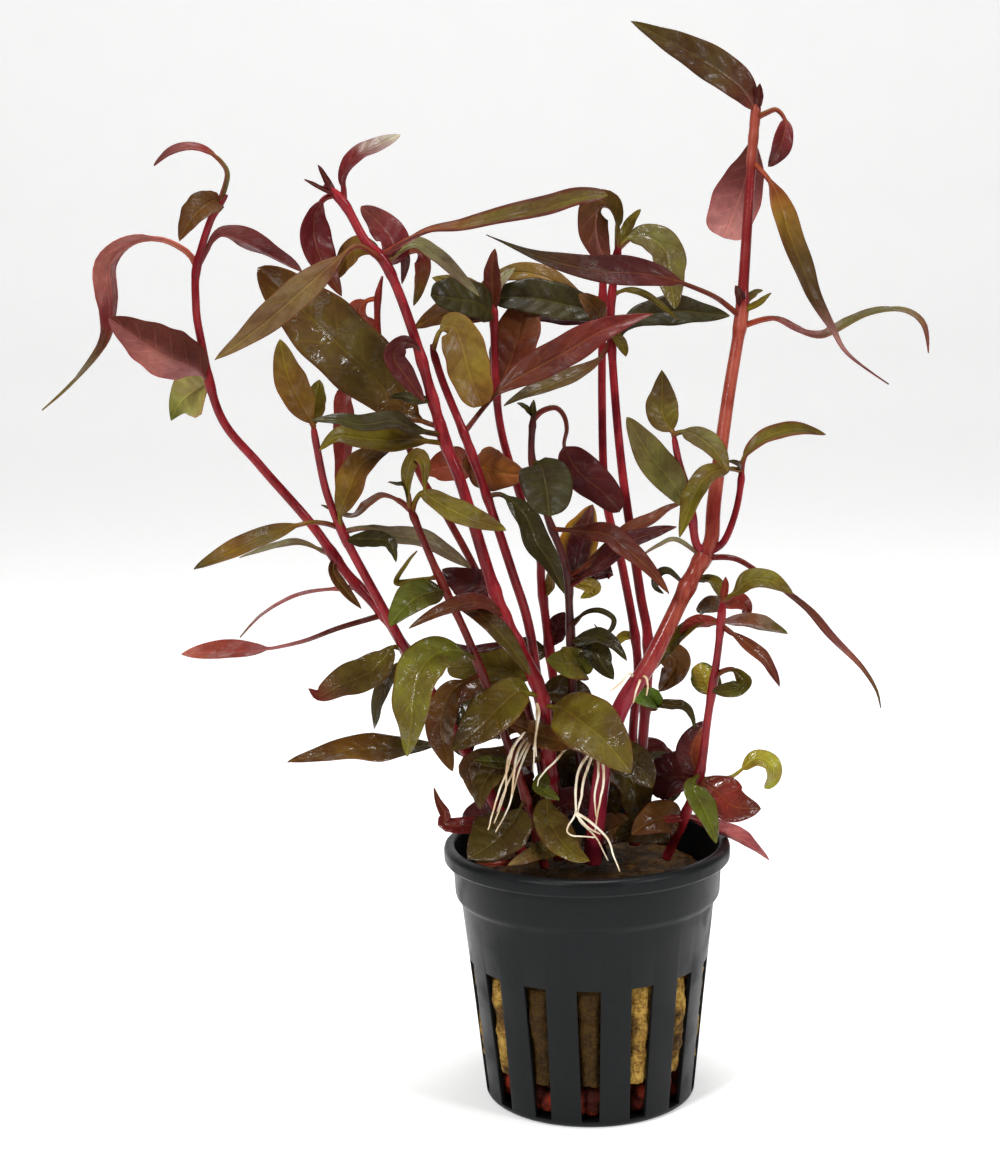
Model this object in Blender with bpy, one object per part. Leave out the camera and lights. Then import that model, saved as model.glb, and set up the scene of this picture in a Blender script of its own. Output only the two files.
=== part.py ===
"""A potted aquarium plant, alternanthera reineckii: a net pot, its filling, the shoots, leaves and roots.

Units are metres in Blender. Every length below is a real one in millimetres until place() or MM turns it.
The origin is the middle of the pot's underside, +Z is up, and the viewer stands towards -Y.
"""
import math

import bmesh
import bpy
from mathutils import Vector

MM = 0.001

# The pot, in millimetres
RIM_RADIUS = 27.0
RIM_DROP = 3.2
RIM_LIP = 2.1
POT_HEIGHT = 49.2
STEP_HEIGHT = 38.2
STEP_RADIUS = 23.9
COLLAR_RADIUS = 25.3
BASE_RADIUS = 20.0
BASE_ROUND = 1.4
FLOOR_THICKNESS = 1.2
WALL = 0.9
POT_SIDES = 28

# The slots round the pot's side, in millimetres
SLOT_COUNT = 14
SLOT_LOW = 1.3
SLOT_HIGH = 27.3
SLOT_WIDTH_LOW = 3.2
SLOT_WIDTH_HIGH = 4.4
SLOT_CUT_INNER = 14.0
SLOT_CUT_OUTER = 28.0
SLOT_TURN = math.radians(-90.0 - 2.3)

# What fills the pot, in millimetres
GAP = 0.35
GRANULE_TOP = 7.0
WOOL_LOW = 7.6
WOOL_TOP = 45.2
WOOL_EDGE = 43.6
FILL_SIDES = 22
GRANULE_LUMP = 0.9
WOOL_LUMP = 0.6

# Shoots, leaves and roots, in millimetres
STEM_SIDES = 6
ROOT_SIDES = 4
ROOT_THICKNESS = 0.75
ROOT_TAPER = 0.6
LEAF_THICKNESS = 0.55
STALK_WIDTH = 0.9
LEAF_FOLD = 0.22

# The share of a leaf that is bare stalk, for a short leaf and for a long one
SHORT_STALK = 0.08
LONG_STALK = 0.16

# How a blade widens from its stalk and closes to its tip: 0.5 is blunt and 1 is pointed
BLADE_OPENS = 0.75
BLADE_CLOSES = 0.85

# The viewer's eye, from which the front view's places were read, in millimetres
EYE = Vector((-15.4, -395.0, 162.0))

# Colour, roughness of every finish
FINISHES = {
    "pot": ((0.020, 0.022, 0.023), 0.55),
    "wool": ((0.20, 0.115, 0.028), 0.95),
    "granules": ((0.20, 0.035, 0.015), 0.9),
    "root": ((0.78, 0.68, 0.52), 0.45),
    "crimson": ((0.32, 0.02, 0.03), 0.35),
    "salmon": ((0.42, 0.09, 0.06), 0.35),
    "pink": ((0.36, 0.08, 0.08), 0.4),
    "red": ((0.30, 0.03, 0.025), 0.4),
    "redorange": ((0.34, 0.07, 0.025), 0.4),
    "redgrey": ((0.22, 0.05, 0.045), 0.4),
    "redolive": ((0.16, 0.06, 0.02), 0.35),
    "redbrown": ((0.18, 0.05, 0.03), 0.35),
    "brownred": ((0.10, 0.025, 0.015), 0.35),
    "pinkolive": ((0.28, 0.12, 0.06), 0.4),
    "maroon": ((0.07, 0.010, 0.012), 0.35),
    "brown": ((0.075, 0.030, 0.008), 0.3),
    "orange": ((0.26, 0.07, 0.012), 0.4),
    "yelloworange": ((0.28, 0.11, 0.012), 0.4),
    "tan": ((0.24, 0.13, 0.035), 0.5),
    "khaki": ((0.14, 0.085, 0.035), 0.55),
    "grey": ((0.12, 0.11, 0.075), 0.3),
    "greyolive": ((0.09, 0.08, 0.03), 0.4),
    "greenbrown": ((0.10, 0.09, 0.03), 0.35),
    "olive": ((0.105, 0.075, 0.008), 0.3),
    "olivedark": ((0.055, 0.037, 0.006), 0.35),
    "dark": ((0.022, 0.022, 0.006), 0.3),
    "green": ((0.07, 0.085, 0.010), 0.3),
    "bright": ((0.07, 0.18, 0.010), 0.3),
    "lime": ((0.22, 0.22, 0.015), 0.35),
    "yellow": ((0.24, 0.20, 0.02), 0.35),
}

# A shoot: name, finish, thickness low and high, then its places on the front view from low to high,
# each as (across, up, towards the viewer)
STEMS = [
    ("left_stem", "crimson", 2.4, 1.3,
     [(-12, 46.3, 0), (-22, 66, 2), (-33.5, 87, 4), (-37, 93, 4), (-44, 101.5, 4), (-50, 110.5, 4),
      (-59, 121.5, 5),
      (-66, 131, 6), (-69, 145.5, 7), (-69.5, 152, 8), (-69, 158, 8), (-66, 166.5, 9), (-63, 170.5, 10)]),
    ("left_side_stem", "crimson", 1.9, 1.3,
     [(-33.5, 87, 6.6), (-38.5, 97, 7.5), (-42.5, 105, 9), (-44.5, 109.5, 10), (-47, 116.5, 11),
      (-48.5, 125, 13),
      (-49, 129, 14)]),
    ("main_stem", "crimson", 2.8, 1.5,
     [(-5, 45.6, 2), (-6.5, 57, 3), (-7, 67.5, 5), (-8.5, 78.5, 7), (-15.5, 94.5, 9), (-22, 117, 10),
      (-25, 125.5, 10),
      (-30, 144.5, 11.5), (-34.5, 157, 13), (-38.5, 162, 14), (-42, 168.5, 15), (-45.5, 172, 16)]),
    ("thin_back_stem", "red", 1.7, 1.2,
     [(-7, 47.8, -5), (-9.5, 70, -4), (-17.5, 95.5, 0), (-24.5, 110.5, -3), (-30, 120, -5), (-35, 136, -8),
      (-36.5, 144, -9), (-36.5, 151, -9), (-35.5, 155.5, -9)]),
    ("second_stem", "crimson", 2.2, 1.4,
     [(-3, 46.9, -2), (-7.5, 70, -1), (-10, 89.5, 3), (-13, 100.5, 5), (-17, 113.5, 6), (-21, 125.5, 7),
      (-25, 136, 7), (-27, 143, 6)]),
    ("bud_stem", "crimson", 1.9, 1.4,
     [(2, 48.6, -8), (-4.5, 72.5, -6), (-7.5, 96.5, -8), (-8, 104, -8), (-11.5, 115.5, -8), (-15, 130, -8),
      (-15.5, 151, -8)]),
    ("crook_stem", "maroon", 1.9, 1.2,
     [(3, 46.2, 0), (-1.5, 68.5, 2), (-2.5, 91.5, 2), (-3, 101, 3), (-6.5, 111.5, 4), (-9, 121.5, 5),
      (-8.5, 130.5, 5)]),
    ("tall_back_stem", "crimson", 1.9, 1.5,
     [(8, 49.8, -12), (9, 70, -12), (10, 83.5, -12), (7.5, 100.5, -13), (4.5, 114, -14), (4, 132, -15),
      (4.5, 155.5, -16)]),
    ("tall_front_stem", "crimson", 2.2, 1.4,
     [(9, 48.1, -6), (10.5, 64.5, -5), (12, 85.5, -4), (10.5, 97, -5), (7.5, 119.5, -7), (6, 139.5, -9),
      (6, 150.5, -9), (7.5, 161, -9)]),
    ("right_stem_low", "salmon", 3.5, 2.9,
     [(1, 44.8, 6), (3.5, 64.5, 10), (7, 75, 13), (12.5, 83.5, 13), (20, 98.5, 9), (22.7, 103.2, 8.2)]),
    ("right_stem_high", "salmon", 2.8, 1.5,
     [(23.1, 103.9, 8.1), (24.0, 106.6, 8), (24.5, 113.5, 7), (27, 131.5, 3), (29.5, 146.5, 0),
      (30, 153.5, -1),
      (31.5, 175, -4), (32.5, 186, -5)]),
    ("right_side_stem", "crimson", 1.6, 1.2,
     [(21.0, 105.5, 9), (20, 113.5, 10), (18, 120.5, 11), (17, 126, 12)]),
    ("right_short_stem", "crimson", 1.4, 1.1,
     [(26.2, 105.6, 8.5), (28.5, 111.5, 7), (29.5, 118, 6), (29, 120.5, 6)]),
    ("low_right_stem", "crimson", 1.8, 1.3,
     [(15, 45.2, 4), (18, 52, 6), (21.5, 61.5, 9), (23, 72, 11), (25, 85, 13), (26, 95, 14)]),
    ("arching_stem", "red", 1.8, 1.3,
     [(-8, 44.0, 8), (-12, 60, 9), (-16, 72.5, 10), (-21, 87, 12), (-25.5, 97.5, 14), (-28, 103.5, 15),
      (-32, 114, 15)]),
]

# A leaf: name, the shoot it grows from, its width, how far its middle and its tip lie towards the viewer
# from its base, how its blade faces at base, middle and tip (0 shows the upper side, 90 the edge, 180 the
# underside), its finish, then its midrib from base to tip on the front view as (across, up)
LEAVES = [
    # The far left shoot
    ("left_crown_curl", "left_stem", 4, (3, 9.5), (60, 65, 75), "olive",
     [(-63, 170.5), (-63, 175.5), (-64, 177.5), (-68.5, 178.5), (-72.5, 177.5), (-76, 176)]),
    ("left_crown_fold", "left_stem", 6, (6, 9), (30, 35, 40), "olive",
     [(-62, 169.5), (-65.5, 169.5), (-69, 167), (-72, 162.5)]),
    ("left_arch", "left_stem", 6.5, (1, 2), (100, 130, 70), "pink",
     [(-69.5, 158), (-70.5, 160.5), (-75.5, 163), (-81.5, 162), (-85, 158.5),
      (-85, 153.5), (-85, 149.5), (-86.5, 144), (-93, 137), (-98.5, 132.5)]),
    ("left_arch_right", "left_stem", 6, (-3, -9), (100, 125, 120), "pink",
     [(-69, 158), (-66, 162.5), (-63, 163.5), (-57.5, 161), (-50, 156.5)]),
    ("left_veined", "left_stem", 10, (6, 9), (150, 155, 150), "pink",
     [(-66.5, 137.5), (-70, 139.5), (-75, 141.8), (-80.5, 145.3), (-85.5, 149)]),
    ("left_hidden", "left_stem", 10, (-8, -11), (20, 20, 20), "olive",
     [(-66, 136.5), (-69.5, 136), (-73, 133.5), (-75, 130)]),
    ("left_low_olive", "left_side_stem", 5.5, (4, 8), (40, 50, 50), "olive",
     [(-45, 109), (-47.5, 110.5), (-51.5, 110.5), (-59, 108), (-65, 105.5), (-72, 102.5)]),
    ("left_low_under", "left_stem", 2.2, (-4, -8), (50, 55, 60), "olive",
     [(-46.5, 104), (-50.5, 106.5), (-54, 107), (-58.5, 106), (-63.5, 104.5)]),
    ("left_node_strap", "left_stem", 2.4, (3, 4), (30, 30, 30), "brown",
     [(-46.6, 104.3), (-46.3, 101.5), (-44.1, 97.8), (-41.2, 94.4)]),
    ("left_thread", "left_stem", 2.2, (-5, -12), (88, 88, 84), "pink",
     [(-43, 98.5), (-50, 98), (-55, 96.5), (-60, 93.5), (-64, 89.5)]),
    ("left_lance", "left_stem", 4.6, (5, 10), (60, 125, 150), "red",
     [(-38.5, 92), (-45.5, 91), (-52.5, 88.5), (-60.5, 87), (-67, 87), (-75, 86.5)]),
    ("left_curled_tip", "left_stem", 7, (6, 10), (30, 25, 40), "olive",
     [(-32.5, 86), (-35.5, 87), (-37, 85), (-40.5, 82), (-45.5, 80), (-49.5, 78), (-51.5, 79.5)]),
    ("left_dark_hook", "left_stem", 4.5, (-2, -5), (50, 50, 60), "dark",
     [(-32, 85), (-35, 82.5), (-38, 78), (-39.5, 71.5)]),
    ("low_long_brown", "left_stem", 6.5, (8, 16), (60, 40, 50), "brown",
     [(-24, 69), (-31, 68), (-37.5, 67.5), (-44, 67.5), (-49.5, 66.5), (-56, 65.5)]),
    # The shoot that forks off the far left one
    ("side_up_left", "left_side_stem", 6, (2, 2), (20, 15, 10), "olive",
     [(-50, 129.5), (-51.5, 133.5), (-53.5, 138.5), (-54.5, 144.5)]),
    ("side_up_right", "left_side_stem", 4, (-2, -3), (10, 10, 10), "olive",
     [(-50, 129.5), (-48.5, 132.5), (-47.5, 137)]),
    ("side_node_up", "left_side_stem", 6, (3.5, -1), (30, 30, 40), "olive",
     [(-44.5, 109.5), (-44.5, 112.5), (-43, 116), (-41, 120.5), (-37.5, 123.5), (-34, 125)]),
    ("side_node_grey", "left_side_stem", 5, (0, -2), (50, 50, 40), "grey",
     [(-43, 109), (-40, 109.5), (-35.5, 108), (-29.5, 107), (-25, 104.5), (-20.5, 101.5)]),
    ("side_node_tail", "left_side_stem", 3.5, (6, 7), (30, 30, 30), "dark",
     [(-40, 109), (-36.5, 107), (-35, 105), (-34.5, 103)]),
    ("red_hanging", "thin_back_stem", 5, (-3, -6), (150, 140, 150), "red",
     [(-39.5, 137.5), (-42.5, 134.5), (-43, 130), (-43.5, 123), (-45, 116.5)]),
    # The low arching shoot in front
    ("arch_far", "arching_stem", 4, (-6, -10), (80, 110, 50), "maroon",
     [(-31.5, 112.5), (-33.5, 114.5), (-36.5, 115.5), (-39, 114), (-41.5, 112), (-44, 112), (-48, 114)]),
    ("arch_top", "arching_stem", 3.5, (3, 7), (50, 40, 60), "olive",
     [(-32, 113), (-32, 117), (-31.5, 120.5), (-30, 122.5), (-29, 121), (-29, 118.5), (-29, 115.5)]),
    ("arch_right", "arching_stem", 5.5, (3, 9), (40, 40, 40), "olive",
     [(-31, 112.5), (-30.5, 114.5), (-29, 115.5), (-25, 113), (-20, 110.5), (-14, 108.5)]),
    ("arch_thread", "arching_stem", 1.5, (1, 3), (60, 60, 60), "dark",
     [(-32, 115.5), (-32.5, 117), (-34, 117.5), (-35.5, 118)]),
    ("arch_tail", "arching_stem", 2, (1, 1), (60, 60, 60), "olive",
     [(-36, 96), (-34.5, 99), (-32.5, 103), (-30.5, 105)]),
    # The thick crimson shoot in the middle
    ("crown_tip_up", "main_stem", 1.5, (1, 2), (50, 40, 40), "maroon",
     [(-43, 170), (-45, 172.5), (-46.5, 175.5)]),
    ("crown_tip_left", "main_stem", 1.4, (2, 3.5), (60, 60, 60), "maroon",
     [(-43.5, 170), (-46.5, 171.5), (-49, 173)]),
    ("crown_twist", "main_stem", 5, (-2, -6), (60, 60, 40), "redgrey",
     [(-41.5, 170), (-42, 172.5), (-41, 175), (-39, 177), (-36, 178.5), (-31.5, 180.5)]),
    ("crown_hang", "main_stem", 6.5, (0, 0), (60, 30, 40), "maroon",
     [(-43, 169), (-45.5, 169.5), (-47.5, 166.5), (-47.5, 161.5), (-45.5, 156.5), (-43, 152)]),
    ("crown_wing", "main_stem", 6.5, (-3.2, -4.5), (20, 30, 40), "maroon",
     [(-33.5, 157.5), (-33.5, 161), (-35.5, 164.5), (-39, 168)]),
    ("crown_wing_low", "main_stem", 3, (-3, -5), (60, 50, 50), "maroon",
     [(-33.5, 157.5), (-32.5, 160.5), (-31.5, 158), (-32, 154)]),
    ("node_long_olive", "main_stem", 6, (4, 10), (60, 60, 50), "olive",
     [(-33, 160), (-30.5, 162), (-26.5, 163.5), (-21, 164),
      (-13.5, 165.5), (-5.5, 167), (0, 168.5), (5.5, 169)]),
    ("node_grey", "main_stem", 4, (-3, -8), (50, 50, 50), "grey",
     [(-32.5, 159.5), (-30, 161), (-26, 159), (-22, 155.5), (-18, 151.5)]),
    ("node_red_hang", "main_stem", 4.5, (-8, -12), (60, 50, 40), "redolive",
     [(-32, 159.5), (-29.5, 160), (-28.5, 157), (-29, 153), (-30, 150)]),
    ("big_matte", "main_stem", 6.2, (10, 18), (60, 30, 30), "khaki",
     [(-34.5, 157.5), (-37, 159.5), (-40, 161), (-43.5, 158.5),
      (-49, 154), (-55, 149), (-61, 144.5), (-66.5, 141)]),
    ("node_gloss_hook", "main_stem", 4.5, (-1, -3), (40, 30, 30), "olive",
     [(-35, 158), (-37, 160), (-40, 160.5), (-42, 158.5), (-44, 155)]),
    ("big_glossy", "main_stem", 13, (-3, 0), (20, 15, 10), "olive",
     [(-26, 128), (-30, 129.5), (-34, 133), (-38.5, 138), (-44.5, 144), (-51.5, 151), (-58, 157.5)]),
    ("back_red_small", "thin_back_stem", 6, (-4, -6), (30, 20, 20), "red",
     [(-36.5, 151), (-38.5, 151), (-40, 149), (-39, 145.5), (-37, 139)]),
    ("small_maroon", "main_stem", 4.5, (3, 5), (40, 30, 30), "maroon",
     [(-26.5, 140.5), (-29.5, 142.5), (-32, 143.5), (-34, 141), (-32, 137.5), (-28.5, 132.5)]),
    ("tan_leaf", "second_stem", 8, (2, 3), (20, 15, 10), "tan",
     [(-26.5, 142), (-25.3, 145.3), (-22.8, 146), (-21.2, 142), (-20, 137), (-18, 131.5)]),
    ("tip_sprig", "main_stem", 2.5, (2, 3), (40, 40, 40), "dark",
     [(-28.5, 132), (-30.5, 133), (-32.5, 133.5), (-35, 133.5)]),
    ("main_left_dark", "main_stem", 5, (10, 14), (50, 50, 50), "dark",
     [(-27.5, 126), (-30.5, 127.5), (-34.5, 129), (-40, 128.5), (-44.5, 129.5), (-49.5, 129.5)]),
    ("main_left_olive", "main_stem", 6, (5, 9), (40, 40, 40), "olive",
     [(-26, 124.5), (-30.5, 125.5), (-35, 125.5), (-40, 126), (-44.5, 126.5), (-48, 124)]),
    ("orange_right", "second_stem", 8, (-7, -8), (10, 10, 10), "orange",
     [(-21.5, 122.5), (-20, 121.5), (-16, 119.5), (-10, 118.5)]),
    ("orange_left", "second_stem", 7, (-7, -9), (160, 165, 170), "redorange",
     [(-22.5, 121.5), (-25, 120.5), (-27.5, 120), (-29.5, 119.5)]),
    ("main_hang_dark", "second_stem", 5.5, (4, 8), (30, 30, 40), "dark",
     [(-17, 115), (-14.5, 115), (-10.5, 111), (-8.5, 106), (-6, 102), (-3.5, 96.5)]),
    # The shoot with the upright bud leaf
    ("bud_leaf", "bud_stem", 3.5, (1, 1), (20, 20, 20), "brownred",
     [(-15.5, 148.5), (-15.5, 152), (-15.5, 156.5), (-15, 160)]),
    ("bud_grey_tip", "bud_stem", 2.5, (-4, -8), (30, 30, 30), "grey",
     [(-15.5, 150), (-14.5, 153.5), (-11.5, 156.5)]),
    ("mid_dark_red", "bud_stem", 9, (-4, -7), (20, 20, 20), "redbrown",
     [(-15.5, 133.5), (-12.8, 139), (-10.8, 145), (-9.2, 151)]),
    ("dark_top_left", "bud_stem", 5, (-4, -6), (40, 40, 40), "olive",
     [(-16, 150), (-20, 152.5), (-23.5, 154), (-26.5, 155)]),
    ("dark_top_wide", "bud_stem", 8.5, (6, 10), (40, 35, 35), "dark",
     [(-15.5, 148.8), (-18.5, 150.3), (-22, 151), (-26.8, 151.8)]),
    ("dark_top_low", "bud_stem", 6, (-5, -8.5), (40, 40, 40), "brown",
     [(-16.5, 147), (-19.5, 148), (-24.5, 148.5), (-30, 146)]),
    # The shoot with the hooked stalk
    ("crook_round", "crook_stem", 9.5, (9, 13), (10, 10, 10), "dark",
     [(-9, 121), (-7.5, 120.5), (-6.5, 116.5), (-6, 111)]),
    ("crook_loop", "crook_stem", 8.5, (-3, -1), (70, 40, 30), "maroon",
     [(-8, 129), (-7, 130.5), (-4.5, 131), (-3, 129.5), (-2.5, 127),
      (-3, 123.5), (-0.5, 119), (3.5, 115.5), (7, 111.5)]),
    ("crook_up", "crook_stem", 2, (1, 1), (50, 50, 50), "dark",
     [(-8.5, 129), (-8.5, 131), (-8.5, 132.5)]),
    ("crook_up_left", "crook_stem", 1.5, (1, 2), (50, 50, 50), "dark",
     [(-9, 129.5), (-10, 131), (-11.5, 132)]),
    ("crook_yellow_edge", "crook_stem", 8.5, (-6, -9), (150, 150, 150), "yelloworange",
     [(-2, 98), (-1.5, 100.5), (-0.5, 104.5), (1, 109.5), (2, 113)]),
    ("star_up_right", "crook_stem", 4, (1, -3), (60, 50, 50), "redbrown",
     [(-2.6, 99.5), (4.5, 104.5), (9, 108), (13, 110), (16, 112), (19, 113)]),
    ("star_right", "crook_stem", 4.5, (6, 3), (60, 40, 40), "maroon",
     [(-1.5, 98), (3, 101.5), (8, 105.5), (12, 107), (15, 108), (17.5, 108.5)]),
    ("star_point", "crook_stem", 4.5, (11, 15), (30, 30, 40), "brownred",
     [(1, 110.5), (4, 107.5), (7.5, 105), (12, 101), (16, 96)]),
    ("star_low", "crook_stem", 3.5, (-2, -4), (70, 60, 60), "maroon",
     [(8, 100.5), (4.5, 100.5), (1.5, 99.5), (-1.5, 98.5)]),
    ("star_ochre", "crook_stem", 3, (-2, -4), (20, 20, 20), "yellow",
     [(4, 99.5), (2, 97.5), (-0.5, 95.5)]),
    # The two tall thin shoots
    ("tall_brown_hood", "tall_front_stem", 7, (3, 6.5), (60, 140, 165), "greenbrown",
     [(7.5, 160.5), (7.2, 164.5), (5.6, 167.2), (3.6, 166.6), (3.3, 162), (5, 156.8)]),
    ("tall_tip", "tall_front_stem", 2.2, (-1, -1), (20, 20, 20), "olive",
     [(8, 161), (9.5, 164), (11.5, 166.5)]),
    ("tall_green", "tall_front_stem", 7, (4, 8), (60, 30, 10), "green",
     [(8, 159.5), (10, 161.5), (13.5, 161), (16, 158.5), (16.5, 154.5), (17.5, 148.5)]),
    ("tall_thread", "tall_front_stem", 2, (2, 5), (50, 50, 50), "olive",
     [(6.5, 151.5), (9, 152), (13, 150.5), (18, 146.5)]),
    ("tall_small_left", "tall_back_stem", 4.5, (3, 4), (30, 30, 30), "brown",
     [(4.5, 146), (3, 148.5), (0, 151.5)]),
    ("tall_small_low", "tall_front_stem", 2.5, (1, 2), (30, 30, 30), "olive",
     [(6.5, 145), (7.5, 142.5), (8.5, 140)]),
    ("long_crimson", "second_stem", 6.5, (0, -2), (40, 25, 20), "crimson",
     [(-20.6, 127.5), (-15.2, 133.8), (-9.1, 137.6), (-2.3, 141.1), (3.8, 144.6), (9.3, 146.6),
      (13.5, 147.7)]),
    ("long_olive", "tall_front_stem", 4.5, (4, 8), (50, 50, 50), "olive",
     [(6.5, 143), (3.5, 139.5), (-0.5, 137), (-5.5, 135), (-10, 133.5), (-14, 131.5)]),
    ("dark_right", "tall_front_stem", 6.5, (-4, -6), (40, 30, 30), "dark",
     [(6.5, 142.5), (9.5, 146), (13.5, 147.5), (18.5, 148), (23, 147.5), (27.5, 147)]),
    ("top_olive_back", "tall_back_stem", 5, (-3, -5), (40, 40, 40), "olive",
     [(4, 150), (-0.5, 151.5), (-6, 154.5), (-11.5, 155.5), (-18, 153.5)]),
    ("top_brown_back", "tall_back_stem", 4.5, (-6, -10), (40, 40, 40), "brownred",
     [(4, 146), (-1.5, 147), (-9, 148), (-16, 145)]),
    ("top_dark_wide", "tall_back_stem", 8, (1, 2), (30, 30, 30), "dark",
     [(3.5, 148), (-2, 149.5), (-9, 151), (-16, 151)]),
    # The tall right shoot
    ("top_blade", "right_stem_high", 7, (3, 4), (30, 25, 20), "brown",
     [(32, 183), (30, 187), (26.5, 190), (21, 193.5), (15.5, 196.5), (10, 199.5)]),
    ("top_bud", "right_stem_high", 1.8, (1, 2), (20, 20, 20), "maroon",
     [(32.6, 183), (32.8, 185.5), (33, 188.2)]),
    ("top_crook", "right_stem_high", 4.5, (4, 7), (70, 40, 30), "red",
     [(33.5, 181.5), (34, 183), (36, 183.5), (37.5, 181.5), (37, 178.5), (36, 176), (34.5, 173.5)]),
    ("top_pink", "right_stem_high", 9.5, (-5, -6), (170, 165, 165), "pink",
     [(32, 178), (31, 174), (29.3, 168.5), (26.4, 161)]),
    ("top_strap", "right_stem_high", 5.5, (9, 14), (20, 50, 84), "olive",
     [(33, 174.5), (35, 170.5), (37, 165.5), (38.5, 160.5), (40.5, 155.5),
      (42.5, 150), (46, 144), (49, 139.5), (56.5, 134)]),
    ("node_right", "right_stem_high", 5.5, (-2, -4), (60, 110, 50), "pinkolive",
     [(30.5, 145), (35, 146.5), (39.5, 144.4), (43.5, 143), (46.5, 143.8),
      (52.5, 146.8), (58.5, 147.4), (62.5, 144.8), (63.7, 139.5)]),
    ("node_bud_left", "right_stem_high", 2.2, (2, 3), (30, 30, 30), "maroon",
     [(29.5, 148.5), (29, 151), (28.5, 152.5)]),
    ("node_bud_right", "right_stem_high", 1.6, (2, 3), (40, 40, 40), "olive",
     [(30.5, 148), (32.5, 149), (35, 151)]),
    ("node_bud_back", "right_stem_high", 1.8, (-2, -3.5), (40, 40, 40), "olive",
     [(30.5, 149), (32, 151), (33.5, 151.5)]),
    ("node_left_long", "right_stem_high", 6.5, (12, 16), (50, 35, 50), "maroon",
     [(28, 146.5), (25.5, 150), (21.5, 152), (16, 154), (10.5, 155),
      (3.5, 155.5), (-3, 157), (-9, 159), (-16.5, 162.5)]),
    # The two side shoots at the right fork
    ("sprig_up", "right_side_stem", 6, (-1, -1), (15, 10, 10), "olive",
     [(16, 126), (15, 129.5), (15, 133.5), (15, 137.5)]),
    ("sprig_left", "right_side_stem", 6.5, (3, 4), (20, 20, 20), "greyolive",
     [(19.5, 109.5), (18.5, 113.5), (16.5, 117), (13.5, 120.5), (11, 124.5), (8.5, 129)]),
    ("sprig_right", "right_side_stem", 5, (6, 10), (40, 40, 40), "olive",
     [(17, 125.5), (19, 126), (21.5, 125), (24.5, 122.5), (27, 118.5)]),
    ("sprig_cross", "right_short_stem", 5, (9, 14), (40, 40, 40), "olive",
     [(29, 118.5), (27, 119), (23.5, 118), (21, 114.5), (19.5, 110.5), (18, 106.5)]),
    ("right_flag", "right_short_stem", 4.5, (-4, -9), (50, 50, 50), "olive",
     [(29.5, 117.5), (30, 121), (33, 124), (36.5, 125.5), (40.5, 126), (45, 125)]),
    ("right_curl", "right_short_stem", 1.5, (3, 4), (50, 50, 50), "dark",
     [(29, 119), (28.5, 120), (27, 120.5)]),
    ("fork_strap", "right_stem_low", 3.4, (4, 10), (65, 70, 60), "redolive",
     [(24.5, 103), (28, 102.5), (33, 99.5), (37.5, 96), (42, 92),
      (46, 87), (51.5, 81.5), (54.5, 77), (55.5, 73.5)]),
    ("fork_thread", "right_stem_low", 1.5, (3, 6), (60, 60, 60), "grey",
     [(20, 104.5), (17.5, 106), (14, 105), (10.5, 103)]),
    ("fork_curl", "right_stem_low", 2.2, (-2, -4), (70, 50, 30), "dark",
     [(17.5, 98), (16, 100), (14, 99.5), (13.5, 97.5), (15, 96)]),
    # The low shoot on the right
    ("low_right_olive", "low_right_stem", 5, (2, 3), (50, 45, 45), "yellow",
     [(27, 95), (28.5, 96), (31, 98), (34.5, 98), (39, 95.5)]),
    ("low_right_bud", "low_right_stem", 1.6, (0, 0), (30, 30, 30), "red",
     [(26.5, 95.5), (26.5, 97), (26.5, 99)]),
    ("low_right_back", "low_right_stem", 3.5, (-5, -9), (50, 50, 50), "olive",
     [(25.5, 95.5), (24.5, 97.5), (23, 98.5), (20.5, 98.5)]),
    ("low_right_redcurl", "low_right_stem", 4, (-4, -5), (40, 30, 30), "red",
     [(27, 93), (29, 94), (30.5, 92.5), (29.5, 91.5)]),
    ("low_right_pink", "low_right_stem", 4.5, (-3, -4), (120, 130, 130), "pink",
     [(26, 90.5), (30, 90.5), (34, 89.5), (38, 88)]),
    ("low_right_pinkleft", "low_right_stem", 4, (-2.6, -5.5), (130, 130, 130), "red",
     [(25.5, 90.5), (23, 90.5), (20.5, 90), (18, 88)]),
    ("low_right_lance", "low_right_stem", 3.6, (4, 8), (50, 50, 50), "red",
     [(25.5, 90), (28, 88), (31, 85.5), (34, 82.5), (36.5, 78)]),
    ("low_right_brown", "low_right_stem", 4.5, (-7, -11), (30, 30, 30), "brown",
     [(25.5, 92.5), (23.5, 93.5), (21, 93)]),
    ("low_right_cross", "low_right_stem", 4, (-5, -5), (50, 50, 50), "olive",
     [(25, 91), (21.5, 90.5), (18, 88), (15.5, 85), (13, 81.5)]),
    ("low_right_ring", "low_right_stem", 4.5, (3, 7), (70, 50, 40), "green",
     [(23.5, 79.5), (25.6, 80.9), (27.7, 81.4), (29.3, 80.3), (30, 78.9), (28.4, 77.5), (26.1, 77.1),
      (24, 77.3)]),
    ("low_right_cup", "low_right_stem", 5.5, (-3, -4.5), (20, 20, 20), "yellow",
     [(22.9, 76.9), (22.7, 79), (21.9, 80.8), (20.7, 82.3)]),
    ("low_yellow", "low_right_stem", 3.8, (3, 5), (60, 30, 40), "lime",
     [(21.5, 60.5), (24.5, 60.6), (27.4, 60.8), (29.8, 62.5), (32.1, 64.2), (34.8, 63.2), (35.2, 60.6),
      (33.7, 58.4)]),
    ("low_red", "low_right_stem", 8, (5, 7), (20, 20, 20), "red",
     [(21.5, 60.5), (24.5, 58), (28, 55), (33, 54.5)]),
    ("low_pink_tip", "low_right_stem", 4.5, (-5, -7), (130, 130, 130), "pink",
     [(24.5, 51.5), (28, 49.5), (31, 47.5), (34.5, 44.5)]),
    ("low_green_drop", "low_right_stem", 5, (8, 10), (30, 30, 30), "green",
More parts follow.
